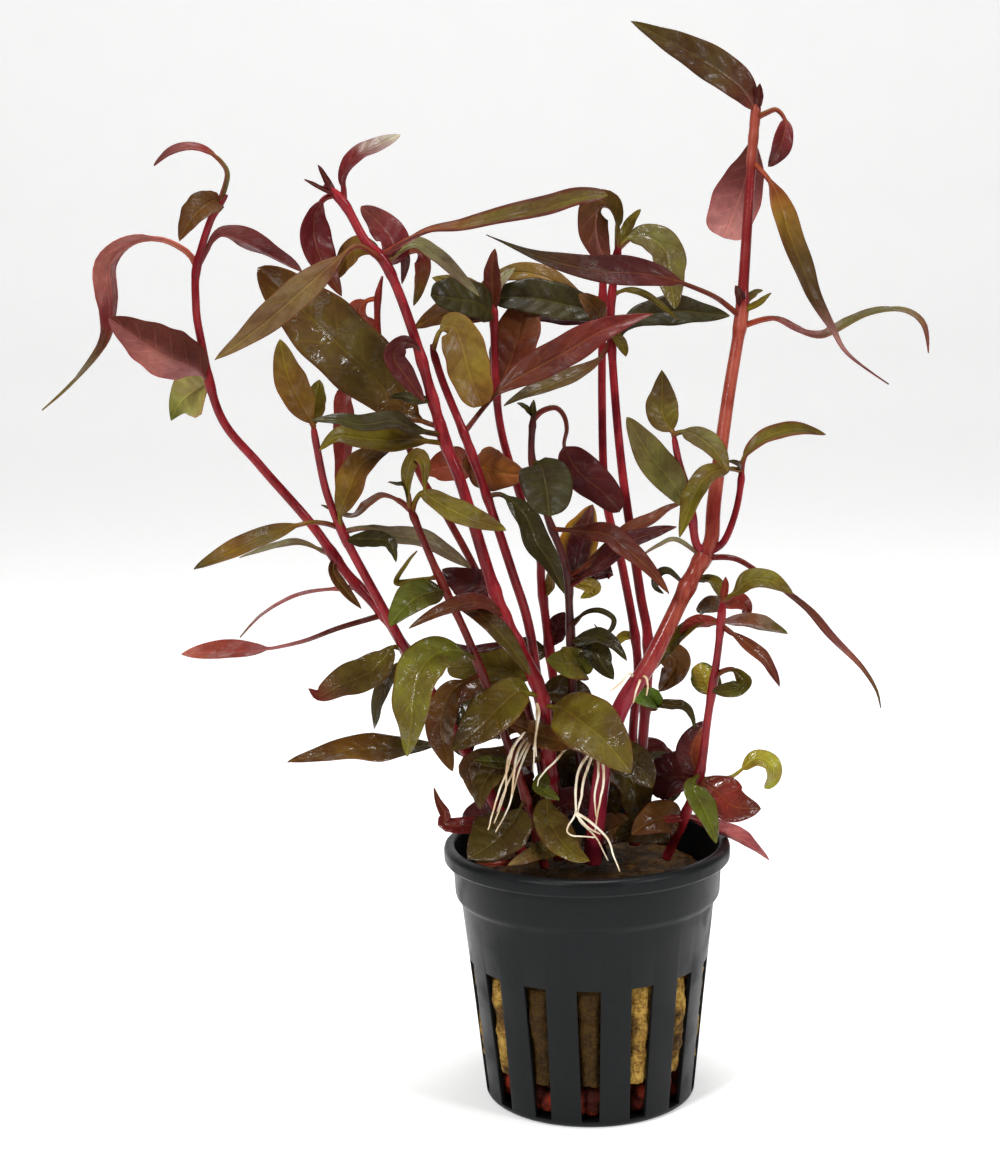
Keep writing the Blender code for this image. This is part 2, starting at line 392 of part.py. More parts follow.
     [(18, 62.5), (20, 59.5), (22, 55), (23.5, 51.5), (24.5, 48)]),
    ("low_orange", "low_right_stem", 6, (-4, -4), (20, 20, 20), "redorange",
     [(20.5, 61), (20, 65.5), (21.5, 69.5), (23.5, 71.5)]),
    ("low_maroon", "low_right_stem", 9.5, (-5, -8), (20, 20, 20), "maroon",
     [(20, 60.5), (16, 61), (11, 59.5)]),
    ("low_stub", "low_right_stem", 2, (4, 6), (30, 30, 30), "crimson",
     [(21.5, 52), (16.5, 53), (12, 52.5)]),
    ("low_brown_back", "tall_front_stem", 6, (-4, -5.5), (20, 20, 20), "brown",
     [(18.5, 86), (17, 83), (14, 77.5)]),
    ("low_bright", "tall_front_stem", 4.5, (8, 12), (30, 30, 30), "bright",
     [(15.5, 75.5), (12.5, 76), (9, 76)]),
    ("low_dark_arch", "tall_front_stem", 3, (6, 9), (50, 50, 50), "dark",
     [(15.5, 75.5), (18, 74.5), (20, 72.5), (20.5, 70)]),
    # The low leaves over and in the pot
    ("low_bright_left", "arching_stem", 8.2, (12, 15), (30, 20, 20), "lime",
     [(-19.5, 84.5), (-23.5, 86), (-27.5, 85.5), (-30.5, 82.5), (-32, 77.5), (-32.5, 72), (-33.5, 66)]),
    ("low_gloss_flat", "main_stem", 8, (-3, -6), (30, 30, 30), "olive",
     [(-10.5, 79.5), (-14, 82), (-19.5, 83), (-25.5, 83)]),
    ("low_back_olive", "bud_stem", 6.5, (-2, -4), (20, 20, 20), "olive",
     [(-6.1, 85.5), (-10.7, 85.3), (-13.8, 83.8), (-17, 81.6)]),
    ("low_back_brown", "thin_back_stem", 7, (-3, -5), (20, 20, 20), "brown",
     [(-11.4, 76), (-16, 77), (-22, 76.7), (-28.3, 74.9)]),
    ("low_dark_drop", "arching_stem", 6, (1, 3), (20, 20, 20), "brown",
     [(-19.5, 81), (-24, 79), (-26, 76), (-27, 72), (-26.5, 68), (-25, 63)]),
    ("low_gloss_big", "main_stem", 9.5, (9, 14), (40, 30, 20), "olive",
     [(-8.5, 76), (-10, 77.5), (-12.5, 78), (-15.5, 75.5), (-19, 72), (-22, 69.5), (-25, 67)]),
    ("low_brown_mid", "right_stem_low", 5.5, (-1, 0), (40, 30, 30), "brown",
     [(1, 69.5), (-3.5, 68.5), (-7.5, 69), (-11.5, 71), (-15.5, 73)]),
    ("low_round", "crook_stem", 7, (8, 13), (30, 30, 30), "green",
     [(1.5, 82.3), (-0.8, 82.8), (-4, 83), (-7, 84)]),
    ("low_gloss_right", "main_stem", 11, (12, 16), (20, 15, 10), "olive",
     [(-7, 74.5), (-4, 74.5), (-0.5, 72), (4, 68), (8.5, 62)]),
    ("low_dark_right", "crook_stem", 4, (8, 12), (40, 40, 40), "dark",
     [(-1, 87.5), (2.5, 88), (5.5, 86.5), (8, 83.5)]),
    ("low_dark_hang", "crook_stem", 5.5, (5, 7.5), (30, 30, 30), "dark",
     [(-0.5, 86.5), (1.5, 85.5), (3.5, 82.5), (5.5, 80)]),
    ("low_ring", "crook_stem", 1.6, (4, 6), (60, 50, 50), "dark",
     [(-1.5, 90), (0, 92.5), (3, 93), (5.5, 91.5), (5, 89.5), (3.5, 89), (2, 90.5)]),
    ("green_side", "arching_stem", 6.5, (5, 8), (30, 30, 30), "green",
     [(-26.5, 97.5), (-30.5, 96.5), (-34, 93.5), (-36, 91)]),
    ("dark_middle", "main_stem", 6.5, (-7, -10), (20, 20, 20), "maroon",
     [(-18.5, 97), (-22, 99), (-26, 101.5)]),
    ("brown_band", "main_stem", 4.5, (11, 13), (50, 50, 50), "brown",
     [(-14, 93), (-19.5, 95), (-26.5, 93.5), (-32.5, 90.5)]),
    ("olive_band", "arching_stem", 4.5, (3, 5), (40, 40, 40), "brown",
     [(-25, 94.5), (-19, 92.5), (-14, 87), (-10, 81)]),
    ("red_edge", "main_stem", 3, (0.5, 0.5), (60, 60, 60), "maroon",
     [(-15, 87), (-21, 86), (-26.5, 88)]),
    ("pot_leaf_big", "arching_stem", 11, (6, 12), (40, 30, 30), "olivedark",
     [(-11.5, 58), (-13, 54), (-15.5, 51), (-19, 48), (-22.5, 46)]),
    ("pot_leaf_gloss", "main_stem", 6.5, (12, 20), (20, 15, 10), "olive",
     [(-8.5, 59), (-7.5, 55), (-5.5, 50), (-2.5, 46.5), (0.5, 45)]),
    ("pot_leaf_small", "main_stem", 3.5, (8, 12), (30, 30, 30), "green",
     [(-11, 62.5), (-8.5, 59.5), (-5, 57)]),
    ("rim_red", "main_stem", 3.5, (6, 8), (30, 30, 30), "red",
     [(-21.5, 53.5), (-25, 52.5), (-27, 56), (-28.5, 60)]),
    ("tan_low", "main_stem", 5, (2, 2.5), (20, 20, 20), "tan",
     [(-18, 65), (-20.5, 64.5), (-21.5, 61.5), (-20.5, 57)]),
    ("green_low", "arching_stem", 3, (2, 4), (40, 40, 40), "green",
     [(-13.5, 64), (-17, 64.5), (-21, 65)]),
    ("rim_tan", "main_stem", 4, (15, 19), (20, 20, 20), "tan",
     [(-6.5, 48), (-10, 46.5), (-15, 44.5)]),
    ("rim_red_thin", "arching_stem", 1.5, (9, 11), (30, 30, 30), "red",
     [(-10, 47), (-14, 45.2), (-18, 44.8), (-20.5, 45)]),
    ("pot_dark_right", "right_stem_low", 8, (-4, -6), (20, 30, 30), "olivedark",
     [(4, 66), (8.5, 61), (9.5, 56), (10.5, 51)]),
    ("pot_brown_right", "low_right_stem", 7, (6, 8), (10, 20, 20), "brown",
     [(18, 51.5), (15, 53), (11.5, 52), (8.5, 50)]),
    ("mid_back_maroon", "bud_stem", 5, (-1, -2), (20, 30, 30), "maroon",
     [(-6.5, 86), (-5, 89.5), (-3.5, 93)]),
    ("low_back_maroon", "bud_stem", 7.5, (0, 1), (20, 20, 20), "maroon",
     [(-5.5, 78), (-4.5, 73.5), (-3.5, 67.5), (-2.5, 62)]),
    ("rim_brown_left", "arching_stem", 5, (2, 3), (20, 30, 30), "greenbrown",
     [(-13.5, 65), (-17, 63), (-19.5, 59.5), (-20, 55.5)]),
    ("mid_yellow_right", "tall_back_stem", 2.5, (-1, -2), (40, 40, 40), "yellow",
     [(9.5, 88.5), (7.5, 88), (5.5, 86.5)]),
    ("mid_small_tan", "bud_stem", 2.5, (1, 2), (40, 40, 40), "tan",
     [(-7.5, 96), (-6, 98), (-6, 101)]),
]

# The leaves that are pieces of their own. The other, younger ones are fused to their shoot.
SINGLE_LEAVES = [
    "left_arch", "left_arch_right", "left_veined", "left_hidden", "left_low_olive", "left_lance",
    "left_curled_tip", "low_long_brown", "side_up_left", "side_node_grey", "arch_right", "crown_hang",
    "node_long_olive", "big_matte", "big_glossy", "tan_leaf", "main_left_olive", "sprig_left", "left_thread",
    "main_hang_dark", "mid_dark_red", "dark_top_wide", "crook_loop", "crook_yellow_edge", "long_crimson",
    "tall_green", "dark_right", "top_blade", "top_pink", "top_strap", "node_right", "node_left_long",
    "fork_strap", "low_red", "low_bright_left", "low_gloss_big", "low_gloss_right", "pot_leaf_big",
]

# The leaves whose blade starts late, and the share of each that is bare stalk
LONG_STALKS = {
    "left_arch": 0.2, "left_lance": 0.58, "left_low_olive": 0.3, "crook_loop": 0.46, "big_matte": 0.26,
    "long_crimson": 0.22, "fork_strap": 0.28, "tan_leaf": 0.22,
}

# A root bundle: name, then each strand's places from top to bottom, as for a shoot
ROOTS = [
    ("left_roots", [
        [(-9.2, 71, 7.5), (-13, 68.2, 12), (-14.8, 62.8, 14.5), (-16.6, 58.2, 17), (-18.6, 51.5, 19)],
        [(-9.2, 71, 7.5), (-11, 68, 11), (-13, 64, 13), (-15.3, 59, 13.5), (-16.8, 55, 13)],
    ]),
    ("middle_roots", [
        [(-8.9, 75.6, 9.0), (-9.0, 71.7, 12), (-9.5, 67.6, 13), (-9.8, 62.8, 13)],
    ]),
    ("right_roots", [
        [(2.2, 67.5, 13), (0, 62, 17), (-0.8, 58, 18), (-1.5, 53.5, 18), (1.5, 50, 19), (4, 45, 20)],
        [(2.2, 67.5, 13), (3.4, 63, 17), (3.2, 59.5, 18), (2.3, 55.1, 18), (1.6, 50.7, 18)],
    ]),
]


def place(across, up, toward):
    """The spot seen at a place on the front view, brought that far towards the viewer, in metres."""
    seen = Vector((across, 0.0, up))
    return (seen + (EYE - seen) * (toward / -EYE.y)) * MM


def curve_point(points, share):
    """A smooth curve through the points, read at a share of its length from 0 to 1."""
    lengths = [0.0]
    for here, after in zip(points, points[1:]):
        lengths.append(lengths[-1] + (after - here).length)
    reach = min(max(share, 0.0), 1.0) * lengths[-1]
    last = len(points) - 1
    step = 0
    while step < last - 1 and lengths[step + 1] < reach:
        step += 1
    part = (reach - lengths[step]) / (lengths[step + 1] - lengths[step])
    before = points[max(step - 1, 0)]
    here, after = points[step], points[step + 1]
    beyond = points[min(step + 2, last)]
    bend = 2 * before - 5 * here + 4 * after - beyond
    swing = 3 * (here - after) + beyond - before
    return 0.5 * (2 * here + (after - before) * part + bend * part ** 2 + swing * part ** 3)


def heading(points, share):
    """The direction of the same curve there."""
    return (curve_point(points, share + 0.01) - curve_point(points, share - 0.01)).normalized()


def three_way(low, middle, high, share):
    """A value that runs evenly from low through middle to high."""
    if share < 0.5:
        return low + (middle - low) * share * 2
    return middle + (high - middle) * (share - 0.5) * 2


def finish_material(finish):
    """One Principled material for each finish."""
    material = bpy.data.materials.get(finish)
    if material:
        return material
    colour, roughness = FINISHES[finish]
    material = bpy.data.materials.new(finish)
    material.use_nodes = True
    shader = material.node_tree.nodes["Principled BSDF"]
    shader.inputs["Base Color"].default_value = (*colour, 1.0)
    shader.inputs["Roughness"].default_value = roughness
    shader.inputs["Metallic"].default_value = 0.0
    return material


def add_object(name, shape, finish, folder=None):
    """An object of its own from a finished shape."""
    bmesh.ops.remove_doubles(shape, verts=shape.verts, dist=0.000001)
    bmesh.ops.recalc_face_normals(shape, faces=shape.faces)
    mesh = bpy.data.meshes.new(name)
    shape.to_mesh(mesh)
    shape.free()
    mesh.shade_smooth()
    mesh.set_sharp_from_angle(angle=math.radians(40))
    mesh.materials.append(finish_material(finish))
    item = bpy.data.objects.new(name, mesh)
    (folder or bpy.context.scene.collection).objects.link(item)
    return item


def loft(rings):
    """A closed skin through rings of points, capped at both ends or drawn to a tip of one point."""
    shape = bmesh.new()
    loops = [[shape.verts.new(spot) for spot in ring] for ring in rings]
    for low, high in zip(loops, loops[1:]):
        for k in range(len(low)):
            ahead = [high[0]] if len(high) == 1 else [high[k], high[k - 1]]
            shape.faces.new([low[k - 1], low[k]] + ahead)
    shape.faces.new(loops[0])
    if len(loops[-1]) > 1:
        shape.faces.new(list(reversed(loops[-1])))
    return shape


def shares_of(points):
    """How far along the curve each of its own points lies, from 0 to 1."""
    runs = [0.0]
    for here, after in zip(points, points[1:]):
        runs.append(runs[-1] + (after - here).length)
    return [run / runs[-1] for run in runs]


def tube(points, width_low, width_high, sides):
    """A round tapering rod through its points."""
    rings = []
    for middle, share in zip(points, shares_of(points)):
        along = heading(points, share)
        across = along.cross(Vector((0.3, 1.0, 0.1))).normalized()
        depth = along.cross(across)
        radius = (width_low + (width_high - width_low) * share) / 2 * MM
        turns = [2 * math.pi * n / sides for n in range(sides)]
        rings.append([middle + (across * math.cos(a) + depth * math.sin(a)) * radius for a in turns])
    return loft(rings)


def stem_spot(stem, across, up):
    """Where a leaf leaves its shoot: the shoot's middle line nearest to a place on the front view."""
    name, finish, low, high, places = stem
    line = [Vector(spot) for spot in places]
    shares = [k / 80 for k in range(81)]
    wanted = Vector((across, up))
    nearest = min(shares, key=lambda share: (curve_point(line, share).xy - wanted).length)
    nearest = min(nearest, 0.98)
    axis = place(*curve_point(line, nearest + 0.01)) - place(*curve_point(line, nearest - 0.01))
    return curve_point(line, nearest), (low + (high - low) * nearest) / 2, axis.normalized()


def leaf_midrib(leaf):
    """A leaf's midrib in space, from just off its shoot to its tip."""
    name, stem_name, width, (middle, tip), facing, finish, places = leaf
    stem = next(item for item in STEMS if item[0] == stem_name)
    foot, stem_radius, stem_axis = stem_spot(stem, *places[0])
    seen = [Vector((foot[0], foot[1], 0.0))] + [Vector((a, u, 0.0)) for a, u in places[1:]]
    runs = [0.0]
    for here, after in zip(seen, seen[1:]):
        runs.append(runs[-1] + (after - here).length)
    spots = []
    for spot, run in zip(seen, runs):
        share = run / runs[-1]
        # A bow through nothing at the base, then the middle's and the tip's own reach
        reach = share * (4 * middle - tip) + share ** 2 * (2 * tip - 4 * middle)
        spots.append(place(spot[0], spot[1], foot[2] + reach))
    step = spots[1] - spots[0]
    if name in SINGLE_LEAVES:
        outward = (step - stem_axis * step.dot(stem_axis)).normalized()
        spots[0] += outward * (stem_radius + GAP + STALK_WIDTH / 2) * MM
    else:
        spots[0] -= step.normalized() * stem_radius * 0.3 * MM
    return spots


def blade_share(share, stalk):
    """How wide the blade is at a share of the leaf, from 0 on the stalk to 1 at its widest."""
    if share <= stalk:
        return 0.0
    u = (share - stalk) / (1.0 - stalk)
    widest = BLADE_OPENS / (BLADE_OPENS + BLADE_CLOSES)
    fullest = widest ** BLADE_OPENS * (1.0 - widest) ** BLADE_CLOSES
    return u ** BLADE_OPENS * (1.0 - u) ** BLADE_CLOSES / fullest


def leaf_frame(spots, facing, share):
    """Middle, sideways and upper directions of the blade at a share of the leaf."""
    middle = curve_point(spots, share)
    along = heading(spots, share)
    to_eye = (EYE * MM - middle).normalized()
    to_eye = (to_eye - along * to_eye.dot(along)).normalized()
    turn = math.radians(three_way(*facing, share))
    hand = 1.0 if spots[-1].x > spots[0].x else -1.0
    upper = to_eye * math.cos(turn) + to_eye.cross(along) * hand * math.sin(turn)
    return middle, upper.cross(along), upper


def leaf_shape(leaf):
    """A leaf as a folded blade with a thin edge, narrowed to its stalk."""
    name, stem_name, width, reach, facing, finish, places = leaf
    spots = leaf_midrib(leaf)
    stalk = LONG_STALKS.get(name, SHORT_STALK if len(places) < 5 else LONG_STALK)
    bends = round(stalk * len(places)) if name in LONG_STALKS else 0
    count = len(places) - bends // 2 if name in SINGLE_LEAVES else max(2, len(places) - 2)
    shares = [0.0] + [stalk * (k + 1) / (bends + 1) for k in range(bends)]
    shares += [stalk + (1 - stalk) * (k + 0.4) / count for k in range(count)] + [1.0]
    rings = []
    for share in shares:
        middle, side, upper = leaf_frame(spots, facing, share)
        if share == 1.0:
            rings.append([middle])
            break
        half = max(width / 2 * blade_share(share, stalk), STALK_WIDTH / 2 * (1.0 - share)) * MM
        lift = upper * half * LEAF_FOLD
        thick = upper * LEAF_THICKNESS / 2 * MM * (1.0 - 0.5 * share)
        left = middle - side * half + lift
        right = middle + side * half + lift
        rings.append([left, middle + thick, right, middle - thick])
    return loft(rings)


def make_pot():
    """The net pot: one turned skin with a rolled rim, a stepped collar and slots through its side."""
    inner = RIM_RADIUS - RIM_LIP
    profile = [
        (0.0, 0.0), (BASE_RADIUS - BASE_ROUND, 0.0), (BASE_RADIUS - 0.3, 0.5), (BASE_RADIUS, BASE_ROUND),
        (STEP_RADIUS, STEP_HEIGHT), (COLLAR_RADIUS - 0.5, STEP_HEIGHT + 1.2),
        (COLLAR_RADIUS, POT_HEIGHT - RIM_DROP), (RIM_RADIUS - 0.2, POT_HEIGHT - RIM_DROP + 0.3),
        (RIM_RADIUS, POT_HEIGHT - 1.0), (RIM_RADIUS - 0.8, POT_HEIGHT), (inner + 0.3, POT_HEIGHT),
        (inner, POT_HEIGHT - 1.2), (STEP_RADIUS - WALL + 0.4, STEP_HEIGHT + 0.6),
        (STEP_RADIUS - WALL, STEP_HEIGHT - 0.8),
        (BASE_RADIUS - WALL, FLOOR_THICKNESS), (0.0, FLOOR_THICKNESS),
    ]
    shape = bmesh.new()
    spots = [shape.verts.new((radius * MM, 0.0, up * MM)) for radius, up in profile]
    edges = [shape.edges.new(pair) for pair in zip(spots, spots[1:])]
    bmesh.ops.spin(shape, geom=spots + edges, cent=(0, 0, 0), axis=(0, 0, 1), angle=2 * math.pi,
                   steps=POT_SIDES, use_merge=True)
    pot = add_object("net_pot", shape, "pot")
    cutters = bpy.data.collections.new("slot cutters")
    bpy.context.scene.collection.children.link(cutters)
    for k in range(SLOT_COUNT):
        turn = SLOT_TURN + 2 * math.pi * k / SLOT_COUNT
        out = Vector((math.cos(turn), math.sin(turn), 0.0))
        side = Vector((-out.y, out.x, 0.0))
        rings = []
        for up, width in ((SLOT_LOW, SLOT_WIDTH_LOW), (SLOT_HIGH, SLOT_WIDTH_HIGH)):
            lift = Vector((0, 0, up))
            corners = [(SLOT_CUT_INNER, -1), (SLOT_CUT_OUTER, -1), (SLOT_CUT_OUTER, 1), (SLOT_CUT_INNER, 1)]
            rings.append([(out * r + side * width / 2 * s + lift) * MM for r, s in corners])
        cutter = add_object(f"slot_cutter_{k}", loft(rings), "pot", cutters)
        cutter.hide_render = True
        cutter.display_type = "WIRE"
    cut = pot.modifiers.new("slots", "BOOLEAN")
    cut.operation = "DIFFERENCE"
    cut.operand_type = "COLLECTION"
    cut.collection = cutters
    cut.solver = "EXACT"


def wall_inside(up):
    """The pot's inner radius at a height below its step."""
    slope = (STEP_RADIUS - BASE_RADIUS) / (STEP_HEIGHT - BASE_ROUND)
    return BASE_RADIUS - WALL + (up - BASE_ROUND) * slope


def lumpy_plug(name, finish, levels, top, lump):
    """A turned plug with soft lumps that fills the pot between two heights, clear of the wall."""
    rings = []
    for n, up in enumerate(levels):
        ring = []
        for k in range(FILL_SIDES):
            turn = 2 * math.pi * k / FILL_SIDES
            wave = 0.5 + 0.5 * math.sin(turn * 5 + n * 1.7) * math.cos(turn * 3 - n)
            radius = (wall_inside(up) - GAP - lump * wave) * MM
            ring.append(Vector((radius * math.cos(turn), radius * math.sin(turn), up * MM)))
        rings.append(ring)
    for share, up in top:
        rings.append([Vector((spot.x * share, spot.y * share, up * MM)) for spot in rings[len(levels) - 1]])
    add_object(name, loft(rings), finish)


def make_filling():
    """The rock wool plug, and under it the bed of clay granules fused in one body."""
    lumpy_plug("clay_granules", "granules", (SLOT_LOW + 0.4, 3.2, 5.0, GRANULE_TOP - 0.8),
               ((0.9, GRANULE_TOP - 0.1), (0.6, GRANULE_TOP - 0.5), (0.3, GRANULE_TOP)), GRANULE_LUMP)
    lumpy_plug("rock_wool", "wool", (WOOL_LOW, 14, 21, 28, 35, WOOL_EDGE),
               ((0.88, WOOL_TOP), (0.4, WOOL_TOP - 0.1)), WOOL_LUMP)


def fuse(first, others):
    """One closed body of a first object and the ones that grow from it."""
    if not others.objects:
        return
    join = first.modifiers.new("grown together", "BOOLEAN")
    join.operation = "UNION"
    join.operand_type = "COLLECTION"
    join.collection = others
    join.solver = "MANIFOLD"
    bpy.context.view_layer.update()
    grown = first.evaluated_get(bpy.context.evaluated_depsgraph_get())
    whole = bpy.data.meshes.new_from_object(grown)
    first.modifiers.remove(join)
    # The union leaves points in the middle of straight edges, which would spoil the flat faces
    shape = bmesh.new()
    shape.from_mesh(whole)
    mid_edge = [point for point in shape.verts if len(point.link_edges) == 2]
    bmesh.ops.dissolve_verts(shape, verts=mid_edge)
    bmesh.ops.triangulate(shape, faces=shape.faces[:])
    shape.to_mesh(whole)
    shape.free()
    first.data = whole


def helper_folder(name):
    """A folder for shapes that are only fused into another."""
    folder = bpy.data.collections.new(name)
    bpy.context.scene.collection.children.link(folder)
    return folder


def helper(name, shape, finish, folder):
    """A shape that is only fused into another."""
    item = add_object(name, shape, finish, folder)
    item.hide_render = True
    item.display_type = "WIRE"


def make_stems():
    """Every shoot, with its young leaves fused to it."""
    for name, finish, low, high, places in STEMS:
        spots = [place(*spot) for spot in places]
        stem = add_object(name, tube(spots, low, high, STEM_SIDES), finish)
        young = helper_folder(name + " young leaves")
        for leaf in LEAVES:
            if leaf[1] == name and leaf[0] not in SINGLE_LEAVES:
                helper(leaf[0] + "_part", leaf_shape(leaf), leaf[5], young)
        fuse(stem, young)


def make_leaves():
    """The grown leaves, each a piece of its own."""
    for leaf in LEAVES:
        if leaf[0] in SINGLE_LEAVES:
            shape = leaf_shape(leaf)
            bmesh.ops.triangulate(shape, faces=shape.faces[:])
            add_object("leaf_" + leaf[0], shape, leaf[5])


def make_roots():
    """The white roots that hang from the shoots into the pot."""
    for name, strands in ROOTS:
        tip = ROOT_THICKNESS * ROOT_TAPER
        shapes = [tube([place(*spot) for spot in strand], ROOT_THICKNESS, tip, ROOT_SIDES) for strand in strands]
        bundle = add_object(name, shapes[0], "root")
        folder = helper_folder(name + " strands")
        for k, shape in enumerate(shapes[1:]):
            helper(f"{name}_strand_{k}", shape, "root", folder)
        fuse(bundle, folder)


for item in list(bpy.data.objects):
    bpy.data.objects.remove(item, do_unlink=True)
make_pot()
make_filling()
make_stems()
make_leaves()
make_roots()
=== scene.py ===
# %% [markdown]
# A potted water plant, alternanthera reineckii
#
# The real object is a bunch of red-stemmed shoots that stand in a plug of rock wool, in a black net pot.
# The solid model gives every shoot, leaf and root its place. This lesson dresses that model: each piece
# is modelled again with its real surface, at the same place, and takes over from the plain solid there.
# All sizes are written in millimetres, because that is how a plant this small is measured, and MM turns
# them into Blender's metres. The origin is the middle of the pot's underside and the viewer is towards -Y.

# %% Load the frame that everything stands in
import math
import random

import bpy
import numpy as np
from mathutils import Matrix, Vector


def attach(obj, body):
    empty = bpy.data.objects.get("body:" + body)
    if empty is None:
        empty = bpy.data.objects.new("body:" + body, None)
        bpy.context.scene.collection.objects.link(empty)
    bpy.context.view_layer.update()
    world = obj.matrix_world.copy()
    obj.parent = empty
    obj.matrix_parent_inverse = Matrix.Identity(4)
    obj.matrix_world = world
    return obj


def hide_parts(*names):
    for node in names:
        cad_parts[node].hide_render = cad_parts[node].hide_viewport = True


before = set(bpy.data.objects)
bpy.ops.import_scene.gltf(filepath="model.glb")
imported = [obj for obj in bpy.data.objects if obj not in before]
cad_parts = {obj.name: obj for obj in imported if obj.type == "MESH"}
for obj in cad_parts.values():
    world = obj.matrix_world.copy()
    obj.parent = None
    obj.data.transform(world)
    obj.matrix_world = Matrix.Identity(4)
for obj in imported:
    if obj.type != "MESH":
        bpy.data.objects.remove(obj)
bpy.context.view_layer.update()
MM = 0.001

# %% [markdown]
# Blender's operators act on whatever is selected. The loaded solids arrive selected, so every step here
# starts from an empty selection, and picks its points by their place.

# %% Small helpers for working as by hand


def select_none():
    """Leaves edit mode and empties the selection."""
    if bpy.context.mode != "OBJECT":
        bpy.ops.object.mode_set(mode="OBJECT")
    bpy.ops.object.select_all(action="DESELECT")


def select_only(piece):
    """Makes one piece the selected and active one."""
    select_none()
    piece.select_set(True)
    bpy.context.view_layer.objects.active = piece


def new_piece(name):
    """Names what an operator has just added, and applies its place to its mesh."""
    piece = bpy.context.active_object
    piece.name = name
    piece.data.name = name
    bpy.ops.object.transform_apply(location=True, rotation=True, scale=True)
    return piece


def pick(piece, test):
    """Goes into edit mode with only the points selected whose place passes a test."""
    select_only(piece)
    for face in piece.data.polygons:
        face.select = False
    for edge in piece.data.edges:
        edge.select = False
    for point in piece.data.vertices:
        point.select = test(point.co)
    bpy.ops.object.mode_set(mode="EDIT")
    bpy.ops.mesh.select_mode(type="VERT")


def reshape(piece, test, operator, **settings):
    """Runs one edit mode operator on the points whose place passes a test."""
    pick(piece, test)
    operator(**settings)
    bpy.ops.object.mode_set(mode="OBJECT")


def with_modifier(piece, kind, **settings):
    """Adds a modifier to a piece and applies it."""
    select_only(piece)
    modifier = piece.modifiers.new(kind.lower(), kind)
    for setting, value in settings.items():
        setattr(modifier, setting, value)
    bpy.ops.object.modifier_apply(modifier=modifier.name)


def with_clouds(piece, name, grain, depth, middle=0.6):
    """Pushes a surface in and out by soft clouds of that grain, that many millimetres deep."""
    clouds = bpy.data.textures.new(name, "CLOUDS")
    clouds.noise_scale = grain * MM
    with_modifier(piece, "DISPLACE", texture=clouds, strength=depth * MM, mid_level=middle,
                  texture_coords="LOCAL")


def copied(piece):
    """A copy of a piece, with its own mesh."""
    select_only(piece)
    bpy.ops.object.duplicate()
    return bpy.context.active_object


def joined(pieces):
    """Joins pieces into the first of them."""
    select_none()
    for piece in pieces:
        piece.select_set(True)
    bpy.context.view_layer.objects.active = pieces[0]
    bpy.ops.object.join()
    return bpy.context.active_object


def smoothed(piece):
    """Shades a piece smooth."""
    select_only(piece)
    bpy.ops.object.shade_smooth()


def finish_piece(piece, material, node):
    """Gives a piece its material and says which solid it stands for."""
    if material:
        piece.data.materials.clear()
        piece.data.materials.append(material)
    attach(piece, "root")
    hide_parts(node)


def triangle_count(piece):
    """How many triangles a finished piece has."""
    return sum(len(face.vertices) - 2 for face in piece.data.polygons)


select_none()
print("nothing selected, ready to model")

# %% [markdown]
# A material is a small network of nodes. The same few steps come back in all of them: a noise at some
# scale, a mix of two colours, a bump. Each of them is a helper that adds one node and returns what
# comes out of it, so a material reads as a short recipe.

# %% Helpers that add one shader node each


def new_material(name, roughness=0.5, shine=0.5):
    """An empty recipe: the material, its node tree and its Principled shader."""
    material = bpy.data.materials.new(name)
    material.use_nodes = True
    tree = material.node_tree
    shader = tree.nodes["Principled BSDF"]
    shader.inputs["Roughness"].default_value = roughness
    shader.inputs["Specular IOR Level"].default_value = shine
    return material, tree, shader


def plug(tree, value, socket):
    """Connects an output to a socket, or sets a plain number or colour on it."""
    if isinstance(value, bpy.types.NodeSocket):
        tree.links.new(value, socket)
    elif isinstance(value, tuple) and len(value) == 3 and socket.type == "RGBA":
        socket.default_value = (*value, 1.0)
    else:
        socket.default_value = value


def maths(tree, operation, first, second=0.0, third=0.0):
    """One step of arithmetic."""
    node = tree.nodes.new("ShaderNodeMath")
    node.operation = operation
    for value, socket in zip((first, second, third), node.inputs):
        plug(tree, value, socket)
    return node.outputs[0]


def between(tree, value, low, high, to_low=0.0, to_high=1.0):
    """A value eased from one range to another, and held at its ends."""
    node = tree.nodes.new("ShaderNodeMapRange")
    node.interpolation_type = "SMOOTHSTEP"
    for given, socket in zip((value, low, high, to_low, to_high), node.inputs):
        plug(tree, given, socket)
    return node.outputs[0]


def mixed(tree, share, first, second, blend="MIX"):
    """Two colours mixed by a share."""
    node = tree.nodes.new("ShaderNodeMix")
    node.data_type = "RGBA"
    node.blend_type = blend
    plug(tree, share, node.inputs["Factor"])
    plug(tree, first, node.inputs[6])
    plug(tree, second, node.inputs[7])
    return node.outputs[2]


def place_on(tree, stretch=(1, 1, 1)):
    """The place on the piece in its own coordinates, stretched along its axes."""
    where = tree.nodes.new("ShaderNodeTexCoord").outputs["Object"]
    node = tree.nodes.new("ShaderNodeMapping")
    node.inputs["Scale"].default_value = stretch
    tree.links.new(where, node.inputs["Vector"])
    return node.outputs[0]


def noise(tree, where, grain, detail=3.0, roughness=0.5):
    """Soft random patches that are about a grain of that many millimetres across."""
    node = tree.nodes.new("ShaderNodeTexNoise")
    plug(tree, where, node.inputs["Vector"])
    node.inputs["Scale"].default_value = 1.0 / (grain * MM)
    node.inputs["Detail"].default_value = detail
    node.inputs["Roughness"].default_value = roughness
    return node.outputs[0]


